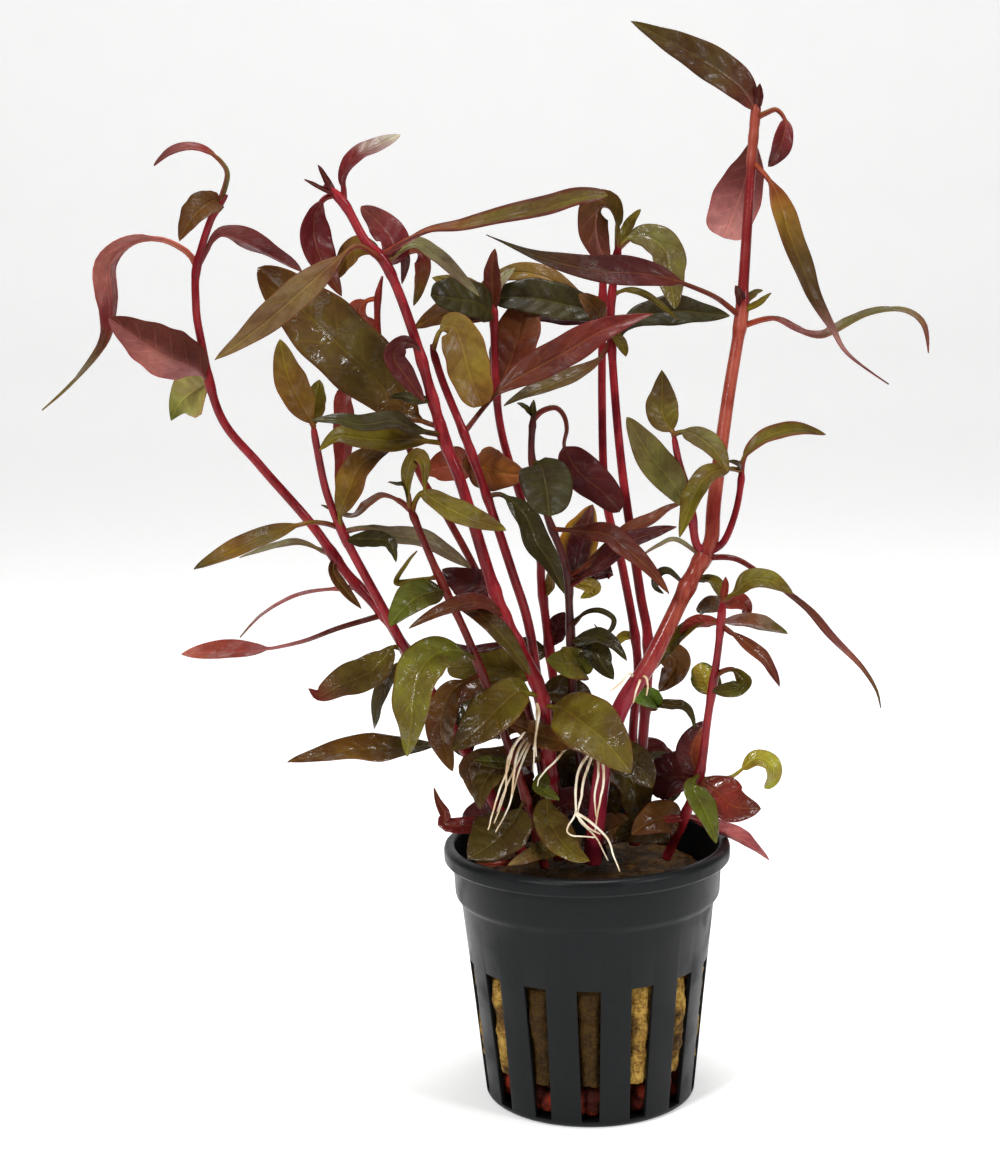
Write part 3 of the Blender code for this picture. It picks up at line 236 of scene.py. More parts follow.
def cells(tree, where, grain, feature="F1"):
    """The distance to the nearest of many scattered points, that many millimetres apart."""
    node = tree.nodes.new("ShaderNodeTexVoronoi")
    node.feature = feature
    plug(tree, where, node.inputs["Vector"])
    node.inputs["Scale"].default_value = 1.0 / (grain * MM)
    return node.outputs["Distance"]


def attribute(tree, name, output="Vector"):
    """A value that was stored on the mesh."""
    node = tree.nodes.new("ShaderNodeAttribute")
    node.attribute_name = name
    return node.outputs[output]


def axes(tree, vector):
    """The three parts of a vector."""
    node = tree.nodes.new("ShaderNodeSeparateXYZ")
    tree.links.new(vector, node.inputs[0])
    return node.outputs[0], node.outputs[1], node.outputs[2]


def bumped(tree, shader, height, depth, strength=1.0):
    """Raises the surface by a height from 0 to 1, that many millimetres deep."""
    node = tree.nodes.new("ShaderNodeBump")
    node.inputs["Strength"].default_value = strength
    node.inputs["Distance"].default_value = depth * MM
    tree.links.new(height, node.inputs["Height"])
    tree.links.new(node.outputs[0], shader.inputs["Normal"])


print("shader helpers ready")

# %% [markdown]
# The pot is injection moulded in black plastic: a tapering basket with fourteen slots round its side, a
# step where a plain collar begins, and a thick rolled lip. It could be drawn as a profile and spun. Here
# it starts as a disc and grows by extrusion, ring by ring: up the outside, over the lip and down the
# inside, as one wall of even thickness, which is also how its mould fills.

# %% Sizes of the pot, in millimetres
RIM_RADIUS = 27.0
RIM_DROP = 3.2
LIP_INSIDE = RIM_RADIUS - 2.1
POT_HEIGHT = 49.2
STEP_HEIGHT = 38.2
STEP_RADIUS = 23.9
COLLAR_RADIUS = 25.3
BASE_RADIUS = 20.0
BASE_ROUND = 1.4
FLOOR_THICKNESS = 1.2
WALL = 0.9
SLOT_COUNT = 14
SLOT_LOW = 1.3
SLOT_HIGH = 27.3
SLOT_WIDTH_LOW = 3.2
SLOT_WIDTH_HIGH = 4.4
SLOT_TURN = math.radians(-90.0 - 2.3)
ROUND_STEPS = SLOT_COUNT * 12
print("pot", 2 * RIM_RADIUS, "mm across its lip and", POT_HEIGHT, "mm high")

# %% Grow the pot's wall out of a disc
# Each row is a ring's radius and height, from the underside round to the floor inside
POT_RINGS = [
    (BASE_RADIUS - BASE_ROUND, 0.0), (BASE_RADIUS - 0.7, 0.12), (BASE_RADIUS - 0.3, 0.45),
    (BASE_RADIUS - 0.05, 0.9), (BASE_RADIUS, BASE_ROUND), (BASE_RADIUS + 1.9, 19.9),
    (STEP_RADIUS, STEP_HEIGHT), (STEP_RADIUS + 0.12, STEP_HEIGHT + 0.35),
    (STEP_RADIUS + 0.75, STEP_HEIGHT + 0.95), (COLLAR_RADIUS - 0.45, STEP_HEIGHT + 1.25),
    (COLLAR_RADIUS - 0.3, STEP_HEIGHT + 1.8), (COLLAR_RADIUS, POT_HEIGHT - RIM_DROP - 0.2),
    (COLLAR_RADIUS + 0.2, POT_HEIGHT - RIM_DROP), (RIM_RADIUS - 0.35, POT_HEIGHT - RIM_DROP + 0.1),
    (RIM_RADIUS - 0.05, POT_HEIGHT - RIM_DROP + 0.5), (RIM_RADIUS, POT_HEIGHT - 1.1),
    (RIM_RADIUS - 0.15, POT_HEIGHT - 0.5), (RIM_RADIUS - 0.55, POT_HEIGHT - 0.12),
    (RIM_RADIUS - 1.0, POT_HEIGHT), (LIP_INSIDE + 0.3, POT_HEIGHT), (LIP_INSIDE + 0.06, POT_HEIGHT - 0.3),
    (LIP_INSIDE, POT_HEIGHT - 1.2), (STEP_RADIUS - WALL + 0.4, STEP_HEIGHT + 0.6),
    (STEP_RADIUS - WALL, STEP_HEIGHT - 0.8), (BASE_RADIUS - WALL, FLOOR_THICKNESS + 0.4),
    (BASE_RADIUS - WALL - 0.6, FLOOR_THICKNESS),
]


def grown(name, rings, round_steps):
    """A closed round solid that is extruded from a disc through its rings."""
    select_none()
    radius, height = rings[0]
    bpy.ops.mesh.primitive_circle_add(vertices=round_steps, radius=radius * MM, fill_type="NGON",
                                      location=(0, 0, height * MM))
    solid = new_piece(name)
    bpy.ops.object.mode_set(mode="EDIT")
    bpy.ops.mesh.select_all(action="SELECT")
    for (last_radius, last_height), (radius, height) in zip(rings, rings[1:]):
        rise = (height - last_height) * MM
        bpy.ops.mesh.extrude_region_move(TRANSFORM_OT_translate={"value": (0, 0, rise)})
        grow = radius / last_radius
        bpy.ops.transform.resize(value=(grow, grow, 1.0), center_override=(0, 0, height * MM))
    bpy.ops.mesh.select_all(action="SELECT")
    bpy.ops.mesh.normals_make_consistent(inside=False)
    bpy.ops.object.mode_set(mode="OBJECT")
    return solid


pot = grown("net_pot_fine", POT_RINGS, ROUND_STEPS)
print("pot wall of", len(pot.data.polygons), "faces")

# %% [markdown]
# The slots let the roots out. In the mould they are blades that slide in from the side, so here a
# tapering blade is modelled once from a cube, copied round the pot and cut away. A fine bevel then
# breaks every sharp edge, because moulded plastic never has a true corner and the bevel catches light.

# %% Cut the slots
CUTTER_AWAY = 21.0
CUTTER_LONG = 14.0
EDGE_ROUND = 0.22
SHARP_EDGE = math.radians(50)
SMOOTH_EDGE = math.radians(35)
select_none()
slot_high = (SLOT_HIGH - SLOT_LOW) * MM
slot_middle = (SLOT_HIGH + SLOT_LOW) / 2 * MM
bpy.ops.mesh.primitive_cube_add(size=1.0, location=(CUTTER_AWAY * MM, 0, slot_middle),
                                scale=(CUTTER_LONG * MM, SLOT_WIDTH_LOW * MM, slot_high))
slot_blade = new_piece("slot_blade")
reshape(slot_blade, lambda co: co.z > slot_middle, bpy.ops.transform.resize,
        value=(1.0, SLOT_WIDTH_HIGH / SLOT_WIDTH_LOW, 1.0))
turned_blades = []
for k in range(SLOT_COUNT):
    turned = copied(slot_blade)
    turned.rotation_euler.z = SLOT_TURN + 2 * math.pi * k / SLOT_COUNT
    bpy.ops.object.transform_apply(location=True, rotation=True, scale=True)
    turned_blades.append(turned)
cutter = joined(turned_blades)
with_modifier(pot, "BOOLEAN", operation="DIFFERENCE", object=cutter, solver="EXACT")
for helper in (slot_blade, cutter):
    bpy.data.objects.remove(helper, do_unlink=True)
with_modifier(pot, "BEVEL", width=EDGE_ROUND * MM, segments=2, limit_method="ANGLE", angle_limit=SHARP_EDGE)
select_only(pot)
bpy.ops.object.shade_smooth_by_angle(angle=SMOOTH_EDGE)
print("pot with", SLOT_COUNT, "slots,", triangle_count(pot), "triangles")

# %% [markdown]
# The plastic is a blue-black polypropylene with a soft sheen. Under the lamp it shows a very fine grain,
# duller patches where drops have dried on it, and faint vertical marks from the mould. So the colour
# hardly changes, and most of the work is in the roughness and in a shallow bump.

# %% Black moulded plastic
plastic, tree, shader = new_material("black_moulded_plastic", shine=0.14)
where = place_on(tree)
drawn = place_on(tree, (1.0, 1.0, 0.08))
streaks = noise(tree, drawn, 1.6)
dried = between(tree, noise(tree, where, 9.0, 5.0), 0.42, 0.66)
grain = noise(tree, where, 0.25, 2.0)
dark = mixed(tree, streaks, (0.0040, 0.0046, 0.0050), (0.0064, 0.0072, 0.0078))
plug(tree, mixed(tree, maths(tree, "MULTIPLY", dried, 0.4), dark, (0.010, 0.0112, 0.0118)),
     shader.inputs["Base Color"])
patchy = maths(tree, "MULTIPLY_ADD", dried, 0.22, 0.27)
plug(tree, maths(tree, "MULTIPLY_ADD", grain, 0.12, patchy), shader.inputs["Roughness"])
bumped(tree, shader, maths(tree, "MULTIPLY_ADD", streaks, 0.6, grain), 0.035)
finish_piece(pot, plastic, "net_pot")
print("material", plastic.name)

# %% [markdown]
# Inside stands a plug of rock wool, a felt of mineral fibres that has gone ochre and mossy with use.
# It swells a little through the slots. A plain drum is grown in the same way as the pot, remeshed to an
# even skin, and then pushed in and out: first by soft clouds for its lumps, then in code, which holds it
# inside the wall and lets it bulge where a slot leaves it free.

# %% Grow the rock wool and let it swell into the slots
WOOL_LOW = 7.6
WOOL_TOP = 45.2
WOOL_EDGE = 43.6
WOOL_SKIN = 0.62
WOOL_GAP = 0.6
WOOL_CLEAR = 0.15
WOOL_SHELL = 2.5
SWELL = 1.25
SWELL_STARTS = 0.5
SWELL_EASE = 2.0
DRUM_STEPS = 72


def wall_inside(up):
    """The pot's inner radius at a height below its step."""
    slope = (STEP_RADIUS - BASE_RADIUS) / (STEP_HEIGHT - BASE_ROUND)
    return BASE_RADIUS - WALL + (up - BASE_ROUND) * slope


def slot_opening(co):
    """How far open the pot is at a place, from 0 behind a rib to 1 in the middle of a slot."""
    up = co.z / MM
    if not SLOT_LOW + SWELL_STARTS < up < SLOT_HIGH - SWELL_STARTS:
        return 0.0
    step = 2 * math.pi / SLOT_COUNT
    turn = (math.atan2(co.y, co.x) - SLOT_TURN + step / 2) % step - step / 2
    rise = (up - SLOT_LOW) / (SLOT_HIGH - SLOT_LOW)
    half = (SLOT_WIDTH_LOW + (SLOT_WIDTH_HIGH - SLOT_WIDTH_LOW) * rise) / 2
    aside = abs(math.tan(turn) * math.hypot(co.x, co.y) / MM) / half
    ends = min(up - SLOT_LOW, SLOT_HIGH - up) / SWELL_EASE
    return max(0.0, 1.0 - aside ** 4) * min(1.0, ends)


WOOL_RINGS = [(wall_inside(up) - WOOL_GAP, up) for up in (WOOL_LOW, 20, 34, 37.5)]
WOOL_RINGS += [(wall_inside(37.5) - 0.2, WOOL_EDGE - 0.8), (21.6, WOOL_EDGE), (18.5, WOOL_TOP - 0.4),
               (9.0, WOOL_TOP - 0.1)]
wool = grown("rock_wool_fine", WOOL_RINGS, DRUM_STEPS)
with_modifier(wool, "REMESH", mode="VOXEL", voxel_size=WOOL_SKIN * MM, adaptivity=0.0)
with_clouds(wool, "wool_lumps", 5.0, 1.3)
with_clouds(wool, "wool_tufts", 1.3, 0.7)
for point in wool.data.vertices:
    co = point.co
    away = math.hypot(co.x, co.y) / MM
    up = co.z / MM
    free = slot_opening(co)
    if up < STEP_HEIGHT:
        most = wall_inside(up) - WOOL_CLEAR + free * SWELL
        pushed = min(away + free * SWELL, most) if away > most - WOOL_SHELL else away
        co.x *= pushed / away
        co.y *= pushed / away
    co.z = max(co.z, WOOL_LOW * MM)
smoothed(wool)
print("rock wool of", triangle_count(wool), "triangles")

# %% [markdown]
# Wet rock wool is a tangle: pale ochre where fibres lie on top, nearly black in the gaps, with green and
# rust-brown stains. Noise that is stretched sideways reads as strands, and two directions of it crossed
# look like felt. The upper face has more moss and peat on it, so it goes browner with height. The front
# middle of the plug is darker than its two sides: partly it is soaked, and partly this is painted shade.

# %% Felted rock wool
# Where the front middle of the plug is darkened, partly as soaked wool and partly as painted shade, in
# millimetres
SOAKED_SHADE_AT = 4.5
SOAKED_SHADE_FULL = 7
SOAKED_SHADE_ENDS = 11
PEAT_STARTS = 33
PEAT_FULL = 41
felt, tree, shader = new_material("rock_wool_felt", roughness=0.82, shine=0.09)
where = place_on(tree)
along_fibres = noise(tree, place_on(tree, (0.5, 0.5, 1.3)), 0.55, 5.0, 0.65)
cross_fibres = noise(tree, place_on(tree, (1.3, 1.3, 0.6)), 0.65, 5.0, 0.65)
tangle = maths(tree, "MULTIPLY", along_fibres, cross_fibres)
tufts_seen = noise(tree, where, 2.6, 4.0, 0.6)
stain = between(tree, noise(tree, where, 6.0, 3.0), 0.40, 0.58)
fluff = maths(tree, "MULTIPLY_ADD", tangle, 0.9, maths(tree, "MULTIPLY", tufts_seen, 0.55))
ochre = mixed(tree, between(tree, fluff, 0.34, 0.66), (0.115, 0.050, 0.007), (0.50, 0.31, 0.070))
stain_and_shade_tone = mixed(tree, between(tree, fluff, 0.36, 0.68), (0.014, 0.006, 0.0015), (0.135, 0.060, 0.010))
aside, behind, height = axes(tree, where)
# A band down the front middle of the plug, darkened partly as soaked wool and partly as painted shade
off_soaked_shade = maths(tree, "ABSOLUTE", maths(tree, "ADD", aside, SOAKED_SHADE_AT * MM))
soaked_shade_across = between(tree, off_soaked_shade, SOAKED_SHADE_ENDS * MM, SOAKED_SHADE_FULL * MM)
soaked_and_shaded = maths(tree, "MULTIPLY", soaked_shade_across, between(tree, behind, 0.0, -6 * MM))
peaty = between(tree, height, PEAT_STARTS * MM, PEAT_FULL * MM)
# One mask for the stains, the peat and the painted shade of the soaked front
stain_and_shade = maths(tree, "MULTIPLY", stain, 0.88)
for other, most in ((peaty, 0.96), (soaked_and_shaded, 0.9)):
    stain_and_shade = maths(tree, "MAXIMUM", stain_and_shade, maths(tree, "MULTIPLY", other, most))
felted = mixed(tree, stain_and_shade, ochre, stain_and_shade_tone)
# The front band goes nearly black: partly soaked wool, partly painted shade
drowned_and_shaded = mixed(tree, maths(tree, "MULTIPLY", soaked_and_shaded, 0.72), felted, (0.021, 0.010, 0.0015))
plug(tree, drowned_and_shaded, shader.inputs["Base Color"])
plug(tree, maths(tree, "MULTIPLY_ADD", stain_and_shade, -0.38, 0.85), shader.inputs["Roughness"])
bumped(tree, shader, fluff, 0.8)
finish_piece(wool, felt, "rock_wool")
print("material", felt.name)

# %% [markdown]
# Under the wool the grower puts a layer of fired clay granules, which show as red-brown lumps in the foot
# of each slot. They are loose, so each one is its own lump: one pebble is modelled from a sphere, and
# copies of it are turned, squashed and packed against the wall round a core of the same clay.

# %% Pack the clay granules
GRANULE_TOP = 7.0
GRANULE = 4.3
GRANULE_CLEAR = 0.56
# Each ring of granules: its height, how far its middles lie from the wall, and how many there are
GRANULE_RINGS = ((3.1, 2.2, 28), (5.3, 2.2, 29), (3.6, 5.0, 20), (5.6, 5.0, 20))
CORE_RINGS = [(11.5, FLOOR_THICKNESS + 0.1), (14.0, 3.0), (14.2, 5.0), (12.5, GRANULE_TOP - 0.4)]
draw = random.Random(7)
# One lumpy pebble a millimetre across, which every granule is a larger copy of
select_none()
bpy.ops.mesh.primitive_ico_sphere_add(subdivisions=2, radius=0.5 * MM)
pebble = new_piece("pebble")
with_clouds(pebble, "pebble_dents", 0.45, 0.30, 0.5)
granules = []
for low, reach, many in GRANULE_RINGS:
    for k in range(many):
        turn = 2 * math.pi * (k + draw.uniform(-0.28, 0.28)) / many
        across = GRANULE * draw.uniform(0.85, 1.15)
        away = wall_inside(low) - max(reach, across * GRANULE_CLEAR)
        granule = copied(pebble)
        granule.rotation_euler = (draw.uniform(0, 6), draw.uniform(0, 6), draw.uniform(0, 6))
        granule.scale = (across, across * draw.uniform(0.8, 1.0), across * draw.uniform(0.75, 0.95))
        up = low + draw.uniform(-0.3, 0.3)
        granule.location = (away * math.cos(turn) * MM, away * math.sin(turn) * MM, up * MM)
        granules.append(granule)
core = grown("clay_core", CORE_RINGS, DRUM_STEPS)
bpy.data.objects.remove(pebble, do_unlink=True)
joined([core] + granules)
clay = new_piece("clay_granules_fine")
smoothed(clay)
print(len(granules), "clay granules,", triangle_count(clay), "triangles")

# %% Fired clay
fired, tree, shader = new_material("fired_clay", roughness=0.8, shine=0.12)
where = place_on(tree)
tinge = noise(tree, where, 3.5, 2.0)
pores = noise(tree, where, 0.35, 4.0, 0.7)
red = mixed(tree, between(tree, tinge, 0.35, 0.65), (0.042, 0.006, 0.003), (0.25, 0.026, 0.010))
plug(tree, mixed(tree, between(tree, pores, 0.25, 0.5), (0.03, 0.009, 0.006), red),
     shader.inputs["Base Color"])
plug(tree, maths(tree, "MULTIPLY_ADD", pores, -0.5, 0.85), shader.inputs["Roughness"])
bumped(tree, shader, pores, 0.25)
finish_piece(clay, fired, "clay_granules")
print("material", fired.name)

# %% [markdown]
# The plant itself was measured on a straight-on view. A place on it is given as millimetres across and
# up, and a third number brings it nearer to the viewer's eye along the line of sight, so that depth can
# be changed without moving what the eye sees. The shoots' routes below are the ones that the solids
# follow, repeated here because the fine shoots have to run through the same places.

# %% From the straight-on view to real places
EYE = Vector((-15.4, -395.0, 162.0))


def place(across, up, toward):
    """The spot seen at a place on the front view, brought that far towards the viewer, in metres."""
    seen = Vector((across, 0.0, up))
    return (seen + (EYE - seen) * (toward / -EYE.y)) * MM


def curve_point(points, share):
    """A smooth curve through the points, read at a share of its length from 0 to 1."""
    lengths = [0.0]
    for here, after in zip(points, points[1:]):
        lengths.append(lengths[-1] + (after - here).length)
    reach = min(max(share, 0.0), 1.0) * lengths[-1]
    last = len(points) - 1
    step = 0
    while step < last - 1 and lengths[step + 1] < reach:
        step += 1
    part = (reach - lengths[step]) / (lengths[step + 1] - lengths[step])
    before = points[max(step - 1, 0)]
    here, after = points[step], points[step + 1]
    beyond = points[min(step + 2, last)]
    bend = 2 * before - 5 * here + 4 * after - beyond
    swing = 3 * (here - after) + beyond - before
    return 0.5 * (2 * here + (after - before) * part + bend * part ** 2 + swing * part ** 3)


def heading(points, share):
    """The direction of the same curve there."""
    return (curve_point(points, share + 0.01) - curve_point(points, share - 0.01)).normalized()


def three_way(low, middle, high, share):
    """A value that runs evenly from low through middle to high."""
    if share < 0.5:
        return low + (middle - low) * share * 2
    return middle + (high - middle) * (share - 0.5) * 2


def length_of(points):
    """The length of a chain of points."""
    return sum((after - here).length for here, after in zip(points, points[1:]))


print("the eye is", round(-EYE.y), "mm in front of the plant")

# %% The shoots, with their thickness low and high, and their routes from low to high
STEMS = [
    ("left_stem", "crimson", 2.4, 1.3,
     [(-12, 46.3, 0), (-22, 66, 2), (-33.5, 87, 4), (-37, 93, 4), (-44, 101.5, 4), (-50, 110.5, 4),
      (-59, 121.5, 5), (-66, 131, 6), (-69, 145.5, 7), (-69.5, 152, 8), (-69, 158, 8), (-66, 166.5, 9),
      (-63, 170.5, 10)]),
    ("left_side_stem", "crimson", 1.9, 1.3,
     [(-33.5, 87, 6.6), (-38.5, 97, 7.5), (-42.5, 105, 9), (-44.5, 109.5, 10), (-47, 116.5, 11),
      (-48.5, 125, 13), (-49, 129, 14)]),
    ("main_stem", "crimson", 2.8, 1.5,
     [(-5, 45.6, 2), (-6.5, 57, 3), (-7, 67.5, 5), (-8.5, 78.5, 7), (-15.5, 94.5, 9), (-22, 117, 10),
      (-25, 125.5, 10), (-30, 144.5, 11.5), (-34.5, 157, 13), (-38.5, 162, 14), (-42, 168.5, 15),
      (-45.5, 172, 16)]),
    ("thin_back_stem", "red", 1.7, 1.2,
     [(-7, 47.8, -5), (-9.5, 70, -4), (-17.5, 95.5, 0), (-24.5, 110.5, -3), (-30, 120, -5), (-35, 136, -8),
      (-36.5, 144, -9), (-36.5, 151, -9), (-35.5, 155.5, -9)]),
    ("second_stem", "crimson", 2.2, 1.4,
     [(-3, 46.9, -2), (-7.5, 70, -1), (-10, 89.5, 3), (-13, 100.5, 5), (-17, 113.5, 6), (-21, 125.5, 7),
      (-25, 136, 7), (-27, 143, 6)]),
    ("bud_stem", "crimson", 1.9, 1.4,
     [(2, 48.6, -8), (-4.5, 72.5, -6), (-7.5, 96.5, -8), (-8, 104, -8), (-11.5, 115.5, -8), (-15, 130, -8),
      (-15.5, 151, -8)]),
    ("crook_stem", "maroon", 1.9, 1.2,
     [(3, 46.2, 0), (-1.5, 68.5, 2), (-2.5, 91.5, 2), (-3, 101, 3), (-6.5, 111.5, 4), (-9, 121.5, 5),
      (-8.5, 130.5, 5)]),
    ("tall_back_stem", "crimson", 1.9, 1.5,
     [(8, 49.8, -12), (9, 70, -12), (10, 83.5, -12), (7.5, 100.5, -13), (4.5, 114, -14), (4, 132, -15),
      (4.5, 155.5, -16)]),
    ("tall_front_stem", "crimson", 2.2, 1.4,
     [(9, 48.1, -6), (10.5, 64.5, -5), (12, 85.5, -4), (10.5, 97, -5), (7.5, 119.5, -7), (6, 139.5, -9),
      (6, 150.5, -9), (7.5, 161, -9)]),
    ("right_stem_low", "salmon", 3.5, 2.9,
     [(1, 44.8, 6), (3.5, 64.5, 10), (7, 75, 13), (12.5, 83.5, 13), (20, 98.5, 9), (22.7, 103.2, 8.2)]),
    ("right_stem_high", "salmon", 2.8, 1.5,
     [(23.1, 103.9, 8.1), (24.0, 106.6, 8), (24.5, 113.5, 7), (27, 131.5, 3), (29.5, 146.5, 0),
      (30, 153.5, -1), (31.5, 175, -4), (32.5, 186, -5)]),
    ("right_side_stem", "crimson", 1.6, 1.2,
     [(21.0, 105.5, 9), (20, 113.5, 10), (18, 120.5, 11), (17, 126, 12)]),
    ("right_short_stem", "crimson", 1.4, 1.1,
     [(26.2, 105.6, 8.5), (28.5, 111.5, 7), (29.5, 118, 6), (29, 120.5, 6)]),
    ("low_right_stem", "crimson", 1.8, 1.3,
     [(15, 45.2, 4), (18, 52, 6), (21.5, 61.5, 9), (23, 72, 11), (25, 85, 13), (26, 95, 14)]),
    ("arching_stem", "red", 1.8, 1.3,
     [(-8, 44.0, 8), (-12, 60, 9), (-16, 72.5, 10), (-21, 87, 12), (-25.5, 97.5, 14), (-28, 103.5, 15),
      (-32, 114, 15)]),
]
print(len(STEMS), "shoots")

# %% [markdown]
# A leaf's row has its name, the shoot it grows from, its width, and how far its middle and its tip lie
# towards the viewer from its base. Then it says how the blade faces at base, middle and tip: 0 shows the
# upper side, 90 the edge and 180 the underside. Last come its tone and its midrib from base to tip, as
# (across, up) on the front view.

